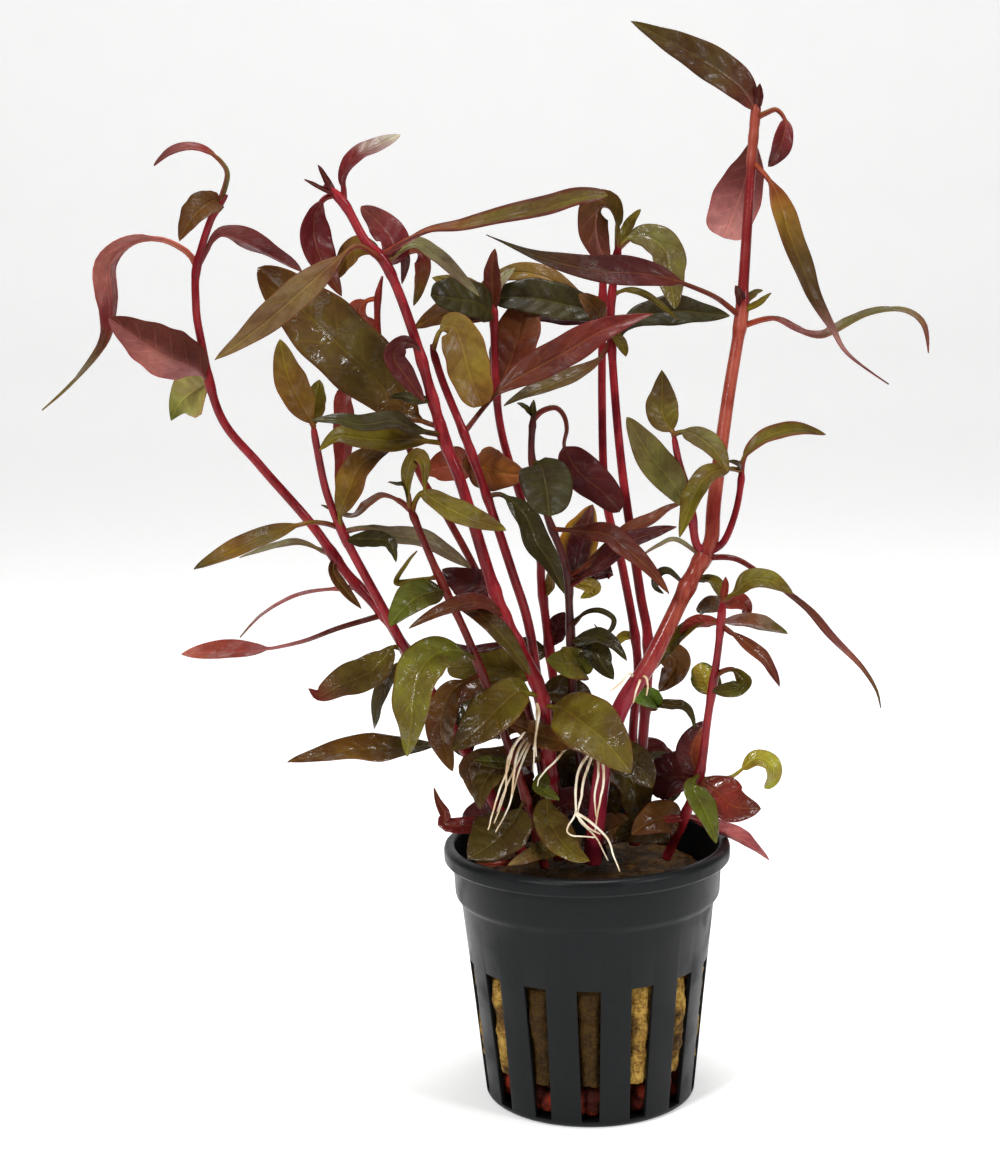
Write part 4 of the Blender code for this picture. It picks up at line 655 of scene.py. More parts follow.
# %% The leaves
LEAVES = [
    # The far left shoot
    ("left_crown_curl", "left_stem", 4, (3, 9.5), (60, 65, 75), "olive",
     [(-63, 170.5), (-62.8, 173.8), (-63.8, 176.4), (-66.2, 178.2), (-69.5, 178.9), (-73, 178), (-76, 176)]),
    ("left_crown_fold", "left_stem", 6, (6, 9), (30, 35, 40), "olive",
     [(-62, 169.5), (-65.5, 169.5), (-69, 167), (-72, 162.5)]),
    ("left_arch", "left_stem", 6.5, (1, 2), (100, 130, 70), "pink",
     [(-69.5, 158), (-70.5, 160.5), (-75.5, 163), (-81.5, 162), (-85, 158.5),
      (-85, 153.5), (-85, 149.5), (-86.5, 144), (-93, 137), (-98.5, 132.5)]),
    ("left_arch_right", "left_stem", 6, (-3, -9), (100, 125, 120), "pink",
     [(-69, 158), (-66, 162.5), (-63, 163.5), (-57.5, 161), (-50, 156.5)]),
    ("left_veined", "left_stem", 10, (6, 9), (150, 155, 150), "pink",
     [(-66.5, 137.5), (-70, 139.5), (-75, 141.8), (-80.5, 145.3), (-85.5, 149)]),
    ("left_hidden", "left_stem", 10, (-8, -11), (20, 20, 20), "olive",
     [(-66, 136.5), (-69.5, 136), (-73, 133.5), (-75, 130)]),
    ("left_low_olive", "left_side_stem", 5.5, (4, 8), (40, 50, 50), "olive",
     [(-45, 109), (-47.5, 110.5), (-51.5, 110.5), (-59, 108), (-65, 105.5), (-72, 102.5)]),
    ("left_low_under", "left_stem", 2.2, (-4, -8), (50, 55, 60), "olive",
     [(-46.5, 104), (-50.5, 106.5), (-54, 107), (-58.5, 106), (-63.5, 104.5)]),
    ("left_node_strap", "left_stem", 2.4, (3, 4), (30, 30, 30), "brown",
     [(-46.6, 104.3), (-46.3, 101.5), (-44.1, 97.8), (-41.2, 94.4)]),
    ("left_thread", "left_stem", 2.2, (-5, -12), (88, 88, 84), "pink",
     [(-43, 98.5), (-50, 98), (-55, 96.5), (-60, 93.5), (-64, 89.5)]),
    ("left_lance", "left_stem", 4.6, (5, 10), (60, 125, 150), "red",
     [(-38.5, 92), (-45.5, 91), (-52.5, 88.5), (-60.5, 87), (-67, 87), (-75, 86.5)]),
    ("left_curled_tip", "left_stem", 7, (6, 10), (30, 25, 40), "olive",
     [(-32.5, 86), (-35.5, 87), (-37, 85), (-40.5, 82), (-45.5, 80), (-49.5, 78), (-51.5, 79.5)]),
    ("left_dark_hook", "left_stem", 4.5, (-2, -5), (50, 50, 60), "dark",
     [(-32, 85), (-35, 82.5), (-38, 78), (-39.5, 71.5)]),
    ("low_long_brown", "left_stem", 6.5, (8, 16), (60, 40, 50), "brown",
     [(-24, 69), (-31, 68), (-37.5, 67.5), (-44, 67.5), (-49.5, 66.5), (-56, 65.5)]),
    # The shoot that forks off the far left one
    ("side_up_left", "left_side_stem", 6, (2, 2), (20, 15, 10), "olive",
     [(-50, 129.5), (-51.5, 133.5), (-53.5, 138.5), (-54.5, 144.5)]),
    ("side_up_right", "left_side_stem", 4, (-2, -3), (10, 10, 10), "olive",
     [(-50, 129.5), (-48.5, 132.5), (-47.5, 137)]),
    ("side_node_up", "left_side_stem", 6, (3.5, -1), (30, 30, 40), "olive",
     [(-44.5, 109.5), (-44.5, 112.5), (-43, 116), (-41, 120.5), (-37.5, 123.5), (-34, 125)]),
    ("side_node_grey", "left_side_stem", 5, (0, -2), (50, 50, 40), "grey",
     [(-43, 109), (-40, 109.5), (-35.5, 108), (-29.5, 107), (-25, 104.5), (-20.5, 101.5)]),
    ("side_node_tail", "left_side_stem", 3.5, (6, 7), (30, 30, 30), "dark",
     [(-40, 109), (-36.5, 107), (-35, 105), (-34.5, 103)]),
    ("red_hanging", "thin_back_stem", 5, (-3, -6), (150, 140, 150), "red",
     [(-39.5, 137.5), (-42.5, 134.5), (-43, 130), (-43.5, 123), (-45, 116.5)]),
    # The low arching shoot in front
    ("arch_far", "arching_stem", 4, (-6, -10), (80, 110, 50), "maroon",
     [(-31.5, 112.5), (-33.5, 114.5), (-36.5, 115.5), (-39, 114), (-41.5, 112), (-44, 112), (-48, 114)]),
    ("arch_top", "arching_stem", 3.5, (3, 7), (50, 40, 60), "olive",
     [(-32, 113), (-32, 117), (-31.5, 120.5), (-30, 122.5), (-29, 121), (-29, 118.5), (-29, 115.5)]),
    ("arch_right", "arching_stem", 5.5, (3, 9), (40, 40, 40), "olive",
     [(-31, 112.5), (-30.5, 114.5), (-29, 115.5), (-25, 113), (-20, 110.5), (-14, 108.5)]),
    ("arch_thread", "arching_stem", 1.5, (1, 3), (60, 60, 60), "dark",
     [(-32, 115.5), (-32.5, 117), (-34, 117.5), (-35.5, 118)]),
    ("arch_tail", "arching_stem", 2, (1, 1), (60, 60, 60), "olive",
     [(-36, 96), (-34.5, 99), (-32.5, 103), (-30.5, 105)]),
    # The thick crimson shoot in the middle
    ("crown_tip_up", "main_stem", 1.5, (1, 2), (50, 40, 40), "maroon",
     [(-43, 170), (-45, 172.5), (-46.5, 175.5)]),
    ("crown_tip_left", "main_stem", 1.4, (2, 3.5), (60, 60, 60), "maroon",
     [(-43.5, 170), (-46.5, 171.5), (-49, 173)]),
    ("crown_twist", "main_stem", 5, (-2, -6), (60, 60, 40), "redgrey",
     [(-41.5, 170), (-42, 172.5), (-41, 175), (-39, 177), (-36, 178.5), (-31.5, 180.5)]),
    ("crown_hang", "main_stem", 6.5, (0, 0), (60, 30, 40), "maroon",
     [(-43, 169), (-45.5, 169.5), (-47.5, 166.5), (-47.5, 161.5), (-45.5, 156.5), (-43, 152)]),
    ("crown_wing", "main_stem", 6.5, (-3.2, -4.5), (20, 30, 40), "maroon",
     [(-33.5, 157.5), (-33.5, 161), (-35.5, 164.5), (-39, 168)]),
    ("crown_wing_low", "main_stem", 3, (-3, -5), (60, 50, 50), "maroon",
     [(-33.5, 157.5), (-32.5, 160.5), (-31.5, 158), (-32, 154)]),
    ("node_long_olive", "main_stem", 6, (4, 10), (60, 60, 50), "olive",
     [(-33, 160), (-30.5, 162), (-26.5, 163.5), (-21, 164),
      (-13.5, 165.5), (-5.5, 167), (0, 168.5), (5.5, 169)]),
    ("node_grey", "main_stem", 4, (-3, -8), (50, 50, 50), "grey",
     [(-32.5, 159.5), (-30, 161), (-26, 159), (-22, 155.5), (-18, 151.5)]),
    ("node_red_hang", "main_stem", 4.5, (-8, -12), (60, 50, 40), "redolive",
     [(-32, 159.5), (-29.5, 160), (-28.5, 157), (-29, 153), (-30, 150)]),
    ("big_matte", "main_stem", 6.2, (10, 18), (60, 30, 30), "khaki",
     [(-34.5, 157.5), (-37, 159.5), (-40, 161), (-43.5, 158.5),
      (-49, 154), (-55, 149), (-61, 144.5), (-66.5, 141)]),
    ("node_gloss_hook", "main_stem", 4.5, (-1, -3), (40, 30, 30), "olive",
     [(-35, 158), (-37, 160), (-40, 160.5), (-42, 158.5), (-44, 155)]),
    ("big_glossy", "main_stem", 13, (-3, 0), (20, 15, 10), "olive",
     [(-26, 128), (-30, 129.5), (-34, 133), (-38.5, 138), (-44.5, 144), (-51.5, 151), (-58, 157.5)]),
    ("back_red_small", "thin_back_stem", 6, (-4, -6), (30, 20, 20), "red",
     [(-36.5, 151), (-38.5, 151), (-40, 149), (-39, 145.5), (-37, 139)]),
    ("small_maroon", "main_stem", 4.5, (3, 5), (40, 30, 30), "maroon",
     [(-26.5, 140.5), (-29.5, 142.5), (-32, 143.5), (-34, 141), (-32, 137.5), (-28.5, 132.5)]),
    ("tan_leaf", "second_stem", 8, (2, 3), (20, 15, 10), "tan",
     [(-26.5, 142), (-25.3, 145.3), (-22.8, 146), (-21.2, 142), (-20, 137), (-18, 131.5)]),
    ("tip_sprig", "main_stem", 2.5, (2, 3), (40, 40, 40), "dark",
     [(-28.5, 132), (-30.5, 133), (-32.5, 133.5), (-35, 133.5)]),
    ("main_left_dark", "main_stem", 5, (10, 14), (50, 50, 50), "dark",
     [(-27.5, 126), (-30.5, 127.5), (-34.5, 129), (-40, 128.5), (-44.5, 129.5), (-49.5, 129.5)]),
    ("main_left_olive", "main_stem", 6, (5, 9), (40, 40, 40), "olive",
     [(-26, 124.5), (-30.5, 125.5), (-35, 125.5), (-40, 126), (-44.5, 126.5), (-48, 124)]),
    ("orange_right", "second_stem", 8, (-7, -8), (10, 10, 10), "orange",
     [(-21.5, 122.5), (-20, 121.5), (-16, 119.5), (-10, 118.5)]),
    ("orange_left", "second_stem", 7, (-7, -9), (160, 165, 170), "redorange",
     [(-22.5, 121.5), (-25, 120.5), (-27.5, 120), (-29.5, 119.5)]),
    ("main_hang_dark", "second_stem", 5.5, (4, 8), (30, 30, 40), "dark",
     [(-17, 115), (-14.5, 115), (-10.5, 111), (-8.5, 106), (-6, 102), (-3.5, 96.5)]),
    # The shoot with the upright bud leaf
    ("bud_leaf", "bud_stem", 3.5, (1, 1), (20, 20, 20), "brownred",
     [(-15.5, 148.5), (-15.5, 152), (-15.5, 156.5), (-15, 160)]),
    ("bud_grey_tip", "bud_stem", 2.5, (-4, -8), (30, 30, 30), "grey",
     [(-15.5, 150), (-14.5, 153.5), (-11.5, 156.5)]),
    ("mid_dark_red", "bud_stem", 9, (-4, -7), (20, 20, 20), "redbrown",
     [(-15.5, 133.5), (-12.8, 139), (-10.8, 145), (-9.2, 151)]),
    ("dark_top_left", "bud_stem", 5, (-4, -6), (40, 40, 40), "olive",
     [(-16, 150), (-20, 152.5), (-23.5, 154), (-26.5, 155)]),
    ("dark_top_wide", "bud_stem", 8.5, (6, 10), (40, 35, 35), "dark",
     [(-15.5, 148.8), (-18.5, 150.3), (-22, 151), (-26.8, 151.8)]),
    ("dark_top_low", "bud_stem", 6, (-5, -8.5), (40, 40, 40), "brown",
     [(-16.5, 147), (-19.5, 148), (-24.5, 148.5), (-30, 146)]),
    # The shoot with the hooked stalk
    ("crook_round", "crook_stem", 9.5, (9, 13), (10, 10, 10), "dark",
     [(-9, 121), (-7.5, 120.5), (-6.5, 116.5), (-6, 111)]),
    ("crook_loop", "crook_stem", 8.5, (-3, -1), (70, 40, 30), "maroon",
     [(-8, 129), (-7, 130.5), (-4.5, 131), (-3, 129.5), (-2.5, 127),
      (-3, 123.5), (-0.5, 119), (3.5, 115.5), (7, 111.5)]),
    ("crook_up", "crook_stem", 2, (1, 1), (50, 50, 50), "dark",
     [(-8.5, 129), (-8.5, 131), (-8.5, 132.5)]),
    ("crook_up_left", "crook_stem", 1.5, (1, 2), (50, 50, 50), "dark",
     [(-9, 129.5), (-10, 131), (-11.5, 132)]),
    ("crook_yellow_edge", "crook_stem", 8.5, (-6, -9), (150, 150, 150), "yelloworange",
     [(-2, 98), (-1.5, 100.5), (-0.5, 104.5), (1, 109.5), (2, 113)]),
    ("star_up_right", "crook_stem", 4, (1, -3), (60, 50, 50), "redbrown",
     [(-2.6, 99.5), (4.5, 104.5), (9, 108), (13, 110), (16, 112), (19, 113)]),
    ("star_right", "crook_stem", 4.5, (6, 3), (60, 40, 40), "maroon",
     [(-1.5, 98), (3, 101.5), (8, 105.5), (12, 107), (15, 108), (17.5, 108.5)]),
    ("star_point", "crook_stem", 4.5, (11, 15), (30, 30, 40), "brownred",
     [(1, 110.5), (4, 107.5), (7.5, 105), (12, 101), (16, 96)]),
    ("star_low", "crook_stem", 3.5, (-2, -4), (70, 60, 60), "maroon",
     [(8, 100.5), (4.5, 100.5), (1.5, 99.5), (-1.5, 98.5)]),
    ("star_ochre", "crook_stem", 3, (-2, -4), (20, 20, 20), "yellow",
     [(4, 99.5), (2, 97.5), (-0.5, 95.5)]),
    # The two tall thin shoots
    ("tall_brown_hood", "tall_front_stem", 7, (3, 6.5), (60, 140, 165), "greenbrown",
     [(7.5, 160.5), (7.2, 164.5), (5.6, 167.2), (3.6, 166.6), (3.3, 162), (5, 156.8)]),
    ("tall_tip", "tall_front_stem", 2.2, (-1, -1), (20, 20, 20), "olive",
     [(8, 161), (9.5, 164), (11.5, 166.5)]),
    ("tall_green", "tall_front_stem", 7, (4, 8), (60, 30, 10), "green",
     [(8, 159.5), (10, 161.5), (13.5, 161), (16, 158.5), (16.5, 154.5), (17.5, 148.5)]),
    ("tall_thread", "tall_front_stem", 2, (2, 5), (50, 50, 50), "olive",
     [(6.5, 151.5), (9, 152), (13, 150.5), (18, 146.5)]),
    ("tall_small_left", "tall_back_stem", 4.5, (3, 4), (30, 30, 30), "brown",
     [(4.5, 146), (3, 148.5), (0, 151.5)]),
    ("tall_small_low", "tall_front_stem", 2.5, (1, 2), (30, 30, 30), "olive",
     [(6.5, 145), (7.5, 142.5), (8.5, 140)]),
    ("long_crimson", "second_stem", 6.5, (0, -2), (40, 25, 20), "crimson",
     [(-20.6, 127.5), (-15.2, 133.8), (-9.1, 137.6), (-2.3, 141.1), (3.8, 144.6), (9.3, 146.6),
      (13.5, 147.7)]),
    ("long_olive", "tall_front_stem", 4.5, (4, 8), (50, 50, 50), "olive",
     [(6.5, 143), (3.5, 139.5), (-0.5, 137), (-5.5, 135), (-10, 133.5), (-14, 131.5)]),
    ("dark_right", "tall_front_stem", 6.5, (-4, -6), (40, 30, 30), "dark",
     [(6.5, 142.5), (9.5, 146), (13.5, 147.5), (18.5, 148), (23, 147.5), (27.5, 147)]),
    ("top_olive_back", "tall_back_stem", 5, (-3, -5), (40, 40, 40), "olive",
     [(4, 150), (-0.5, 151.5), (-6, 154.5), (-11.5, 155.5), (-18, 153.5)]),
    ("top_brown_back", "tall_back_stem", 4.5, (-6, -10), (40, 40, 40), "brownred",
     [(4, 146), (-1.5, 147), (-9, 148), (-16, 145)]),
    ("top_dark_wide", "tall_back_stem", 8, (1, 2), (30, 30, 30), "dark",
     [(3.5, 148), (-2, 149.5), (-9, 151), (-16, 151)]),
    # The tall right shoot
    ("top_blade", "right_stem_high", 7, (3, 4), (30, 25, 20), "brown",
     [(32, 183), (30, 187), (26.5, 190), (21, 193.5), (15.5, 196.5), (10, 199.5)]),
    ("top_bud", "right_stem_high", 1.8, (1, 2), (20, 20, 20), "maroon",
     [(32.6, 183), (32.8, 185.5), (33, 188.2)]),
    ("top_crook", "right_stem_high", 4.5, (4, 7), (70, 40, 30), "red",
     [(33.5, 181.5), (34, 183), (36, 183.5), (37.5, 181.5), (37, 178.5), (36, 176), (34.5, 173.5)]),
    ("top_pink", "right_stem_high", 9.5, (-5, -6), (170, 165, 165), "pink",
     [(32, 178), (31, 174), (29.3, 168.5), (26.4, 161)]),
    ("top_strap", "right_stem_high", 5.5, (9, 14), (20, 50, 84), "olive",
     [(33, 174.5), (35, 170.5), (37, 165.5), (38.5, 160.5), (40.5, 155.5),
      (42.5, 150), (46, 144), (49, 139.5), (56.5, 134)]),
    ("node_right", "right_stem_high", 5.5, (-2, -4), (60, 110, 50), "pinkolive",
     [(30.5, 145), (35, 146.5), (39.5, 144.4), (43.5, 143), (46.5, 143.8),
      (52.5, 146.8), (58.5, 147.4), (62.5, 144.8), (63.7, 139.5)]),
    ("node_bud_left", "right_stem_high", 2.2, (2, 3), (30, 30, 30), "maroon",
     [(29.5, 148.5), (29, 151), (28.5, 152.5)]),
    ("node_bud_right", "right_stem_high", 1.6, (2, 3), (40, 40, 40), "olive",
     [(30.5, 148), (32.5, 149), (35, 151)]),
    ("node_bud_back", "right_stem_high", 1.8, (-2, -3.5), (40, 40, 40), "olive",
     [(30.5, 149), (32, 151), (33.5, 151.5)]),
    ("node_left_long", "right_stem_high", 6.5, (12, 16), (50, 35, 50), "maroon",
     [(28, 146.5), (25.5, 150), (21.5, 152), (16, 154), (10.5, 155),
      (3.5, 155.5), (-3, 157), (-9, 159), (-16.5, 162.5)]),
    # The two side shoots at the right fork
    ("sprig_up", "right_side_stem", 6, (-1, -1), (15, 10, 10), "olive",
     [(16, 126), (15, 129.5), (15, 133.5), (15, 137.5)]),
    ("sprig_left", "right_side_stem", 6.5, (3, 4), (20, 20, 20), "greyolive",
     [(19.5, 109.5), (18.5, 113.5), (16.5, 117), (13.5, 120.5), (11, 124.5), (8.5, 129)]),
    ("sprig_right", "right_side_stem", 5, (6, 10), (40, 40, 40), "olive",
     [(17, 125.5), (19, 126), (21.5, 125), (24.5, 122.5), (27, 118.5)]),
    ("sprig_cross", "right_short_stem", 5, (9, 14), (40, 40, 40), "olive",
     [(29, 118.5), (27, 119), (23.5, 118), (21, 114.5), (19.5, 110.5), (18, 106.5)]),
    ("right_flag", "right_short_stem", 4.5, (-4, -9), (50, 50, 50), "olive",
     [(29.5, 117.5), (30, 121), (33, 124), (36.5, 125.5), (40.5, 126), (45, 125)]),
    ("right_curl", "right_short_stem", 1.5, (3, 4), (50, 50, 50), "dark",
     [(29, 119), (28.5, 120), (27, 120.5)]),
    ("fork_strap", "right_stem_low", 3.4, (4, 10), (65, 70, 60), "redolive",
     [(24.5, 103), (28, 102.5), (33, 99.5), (37.5, 96), (42, 92),
      (46, 87), (51.5, 81.5), (54.5, 77), (55.5, 73.5)]),
    ("fork_thread", "right_stem_low", 1.5, (3, 6), (60, 60, 60), "grey",
     [(20, 104.5), (17.5, 106), (14, 105), (10.5, 103)]),
    ("fork_curl", "right_stem_low", 2.2, (-2, -4), (70, 50, 30), "dark",
     [(17.5, 98), (16, 100), (14, 99.5), (13.5, 97.5), (15, 96)]),
    # The low shoot on the right
    ("low_right_olive", "low_right_stem", 5, (2, 3), (50, 45, 45), "yellow",
     [(27, 95), (28.5, 96), (31, 98), (34.5, 98), (39, 95.5)]),
    ("low_right_bud", "low_right_stem", 1.6, (0, 0), (30, 30, 30), "red",
     [(26.5, 95.5), (26.5, 97), (26.5, 99)]),
    ("low_right_back", "low_right_stem", 3.5, (-5, -9), (50, 50, 50), "olive",
     [(25.5, 95.5), (24.5, 97.5), (23, 98.5), (20.5, 98.5)]),
    ("low_right_redcurl", "low_right_stem", 4, (-4, -5), (40, 30, 30), "red",
     [(27, 93), (29, 94), (30.5, 92.5), (29.5, 91.5)]),
    ("low_right_pink", "low_right_stem", 4.5, (-3, -4), (120, 130, 130), "pink",
     [(26, 90.5), (30, 90.5), (34, 89.5), (38, 88)]),
    ("low_right_pinkleft", "low_right_stem", 4, (-2.6, -5.5), (130, 130, 130), "red",
     [(25.5, 90.5), (23, 90.5), (20.5, 90), (18, 88)]),
    ("low_right_lance", "low_right_stem", 3.6, (4, 8), (50, 50, 50), "red",
     [(25.5, 90), (28, 88), (31, 85.5), (34, 82.5), (36.5, 78)]),
    ("low_right_brown", "low_right_stem", 4.5, (-7, -11), (30, 30, 30), "brown",
     [(25.5, 92.5), (23.5, 93.5), (21, 93)]),
    ("low_right_cross", "low_right_stem", 4, (-5, -5), (50, 50, 50), "olive",
     [(25, 91), (21.5, 90.5), (18, 88), (15.5, 85), (13, 81.5)]),
    ("low_right_ring", "low_right_stem", 4.5, (3, 7), (70, 50, 40), "green",
     [(23.5, 79.5), (25.6, 80.9), (27.7, 81.4), (29.3, 80.3), (30, 78.9), (28.4, 77.5), (26.1, 77.1),
      (24, 77.3)]),
    ("low_right_cup", "low_right_stem", 5.5, (-3, -4.5), (20, 20, 20), "yellow",
     [(22.9, 76.9), (22.7, 79), (21.9, 80.8), (20.7, 82.3)]),
    ("low_yellow", "low_right_stem", 3.8, (3, 5), (60, 30, 40), "lime",
     [(21.5, 60.5), (24.5, 60.6), (27.4, 60.8), (29.8, 62.5), (32.1, 64.2), (34.8, 63.2), (35.2, 60.6),
      (33.7, 58.4)]),
    ("low_red", "low_right_stem", 8, (5, 7), (20, 20, 20), "red",
     [(21.5, 60.5), (24.5, 58), (28, 55), (33, 54.5)]),
    ("low_pink_tip", "low_right_stem", 4.5, (-5, -7), (130, 130, 130), "pink",
     [(24.5, 51.5), (28, 49.5), (31, 47.5), (34.5, 44.5)]),
    ("low_green_drop", "low_right_stem", 5, (8, 10), (30, 30, 30), "green",
     [(18, 62.5), (20, 59.5), (22, 55), (23.5, 51.5), (24.5, 48)]),
    ("low_orange", "low_right_stem", 6, (-4, -4), (20, 20, 20), "redorange",
     [(20.5, 61), (20, 65.5), (21.5, 69.5), (23.5, 71.5)]),
    ("low_maroon", "low_right_stem", 9.5, (-5, -8), (20, 20, 20), "maroon",
     [(20, 60.5), (16, 61), (11, 59.5)]),
    ("low_stub", "low_right_stem", 2, (4, 6), (30, 30, 30), "crimson",
     [(21.5, 52), (16.5, 53), (12, 52.5)]),
    ("low_brown_back", "tall_front_stem", 6, (-4, -5.5), (20, 20, 20), "brown",
     [(18.5, 86), (17, 83), (14, 77.5)]),
    ("low_bright", "tall_front_stem", 4.5, (8, 12), (30, 30, 30), "bright",
     [(15.5, 75.5), (12.5, 76), (9, 76)]),
    ("low_dark_arch", "tall_front_stem", 3, (6, 9), (50, 50, 50), "dark",
     [(15.5, 75.5), (18, 74.5), (20, 72.5), (20.5, 70)]),
    # The low leaves over and in the pot
    ("low_bright_left", "arching_stem", 8.2, (12, 15), (30, 20, 20), "lime",
     [(-19.5, 84.5), (-23.5, 86), (-27.5, 85.5), (-30.5, 82.5), (-32, 77.5), (-32.5, 72), (-33.5, 66)]),
    ("low_gloss_flat", "main_stem", 8, (-3, -6), (30, 30, 30), "olive",
     [(-10.5, 79.5), (-14, 82), (-19.5, 83), (-25.5, 83)]),
    ("low_back_olive", "bud_stem", 6.5, (-2, -4), (20, 20, 20), "olive",
     [(-6.1, 85.5), (-10.7, 85.3), (-13.8, 83.8), (-17, 81.6)]),
    ("low_back_brown", "thin_back_stem", 7, (-3, -5), (20, 20, 20), "brown",
     [(-11.4, 76), (-16, 77), (-22, 76.7), (-28.3, 74.9)]),
    ("low_dark_drop", "arching_stem", 6, (1, 3), (20, 20, 20), "brown",
     [(-19.5, 81), (-24, 79), (-26, 76), (-27, 72), (-26.5, 68), (-25, 63)]),
    ("low_gloss_big", "main_stem", 9.5, (9, 14), (40, 30, 20), "olive",
     [(-8.5, 76), (-10, 77.5), (-12.5, 78), (-15.5, 75.5), (-19, 72), (-22, 69.5), (-25, 67)]),
    ("low_brown_mid", "right_stem_low", 5.5, (-1, 0), (40, 30, 30), "brown",
     [(1, 69.5), (-3.5, 68.5), (-7.5, 69), (-11.5, 71), (-15.5, 73)]),
    ("low_round", "crook_stem", 7, (8, 13), (30, 30, 30), "green",
     [(1.5, 82.3), (-0.8, 82.8), (-4, 83), (-7, 84)]),
    ("low_gloss_right", "main_stem", 11, (12, 16), (20, 15, 10), "olive",
     [(-7, 74.5), (-4, 74.5), (-0.5, 72), (4, 68), (8.5, 62)]),
    ("low_dark_right", "crook_stem", 4, (8, 12), (40, 40, 40), "dark",
     [(-1, 87.5), (2.5, 88), (5.5, 86.5), (8, 83.5)]),
    ("low_dark_hang", "crook_stem", 5.5, (5, 7.5), (30, 30, 30), "dark",
     [(-0.5, 86.5), (1.5, 85.5), (3.5, 82.5), (5.5, 80)]),
    ("low_ring", "crook_stem", 1.6, (4, 6), (60, 50, 50), "dark",
     [(-1.5, 90), (0, 92.5), (3, 93), (5.5, 91.5), (5, 89.5), (3.5, 89), (2, 90.5)]),
    ("green_side", "arching_stem", 6.5, (5, 8), (30, 30, 30), "green",
     [(-26.5, 97.5), (-30.5, 96.5), (-34, 93.5), (-36, 91)]),
    ("dark_middle", "main_stem", 6.5, (-7, -10), (20, 20, 20), "maroon",
     [(-18.5, 97), (-22, 99), (-26, 101.5)]),
    ("brown_band", "main_stem", 4.5, (11, 13), (50, 50, 50), "brown",
     [(-14, 93), (-19.5, 95), (-26.5, 93.5), (-32.5, 90.5)]),
    ("olive_band", "arching_stem", 4.5, (3, 5), (40, 40, 40), "brown",
     [(-25, 94.5), (-19, 92.5), (-14, 87), (-10, 81)]),
    ("red_edge", "main_stem", 3, (0.5, 0.5), (60, 60, 60), "maroon",
     [(-15, 87), (-21, 86), (-26.5, 88)]),
    ("pot_leaf_big", "arching_stem", 11, (6, 12), (40, 30, 30), "olivedark",
     [(-11.5, 58), (-13, 54), (-15.5, 51), (-19, 48), (-22.5, 46)]),
    ("pot_leaf_gloss", "main_stem", 6.5, (12, 20), (20, 15, 10), "olive",
     [(-8.5, 59), (-7.5, 55), (-5.5, 50), (-2.5, 46.5), (0.5, 45)]),
    ("pot_leaf_small", "main_stem", 3.5, (8, 12), (30, 30, 30), "green",
     [(-11, 62.5), (-8.5, 59.5), (-5, 57)]),
    ("rim_red", "main_stem", 3.5, (6, 8), (30, 30, 30), "red",
     [(-21.5, 52), (-25, 52.3), (-26.8, 54.9), (-28, 57.4), (-28.6, 60)]),
    ("tan_low", "main_stem", 5, (2, 2.5), (20, 20, 20), "tan",
     [(-18, 65), (-20.5, 64.5), (-21.5, 61.5), (-20.5, 57)]),
    ("green_low", "arching_stem", 3, (2, 4), (40, 40, 40), "green",
     [(-13.5, 64), (-17, 64.5), (-21, 65)]),
    ("rim_tan", "main_stem", 4, (15, 19), (20, 20, 20), "tan",
     [(-6.5, 48), (-10, 46.5), (-15, 44.5)]),
    ("rim_red_thin", "arching_stem", 1.5, (9, 11), (30, 30, 30), "red",
     [(-10, 47), (-14, 45.2), (-18, 44.8), (-20.5, 45)]),
    ("pot_dark_right", "right_stem_low", 8, (-4, -6), (20, 30, 30), "olivedark",
     [(4, 66), (8.5, 61), (9.5, 56), (10.5, 51)]),
    ("pot_brown_right", "low_right_stem", 7, (6, 8), (10, 20, 20), "brown",
     [(18, 51.5), (15, 53), (11.5, 52), (8.5, 50)]),
    ("mid_back_maroon", "bud_stem", 5, (-1, -2), (20, 30, 30), "maroon",
     [(-6.5, 86), (-5, 89.5), (-3.5, 93)]),
    ("low_back_maroon", "bud_stem", 7.5, (0, 1), (20, 20, 20), "maroon",
     [(-5.5, 78), (-4.5, 73.5), (-3.5, 67.5), (-2.5, 62)]),
    ("rim_brown_left", "arching_stem", 5, (2, 3), (20, 30, 30), "greenbrown",
     [(-13.5, 65), (-17, 63), (-19.5, 59.5), (-20, 55.5)]),
    ("mid_yellow_right", "tall_back_stem", 2.5, (-1, -2), (40, 40, 40), "yellow",
     [(9.5, 88.5), (7.5, 88), (5.5, 86.5)]),
    ("mid_small_tan", "bud_stem", 2.5, (1, 2), (40, 40, 40), "tan",
     [(-7.5, 96), (-6, 98), (-6, 101)]),
]
print(len(LEAVES), "leaves")
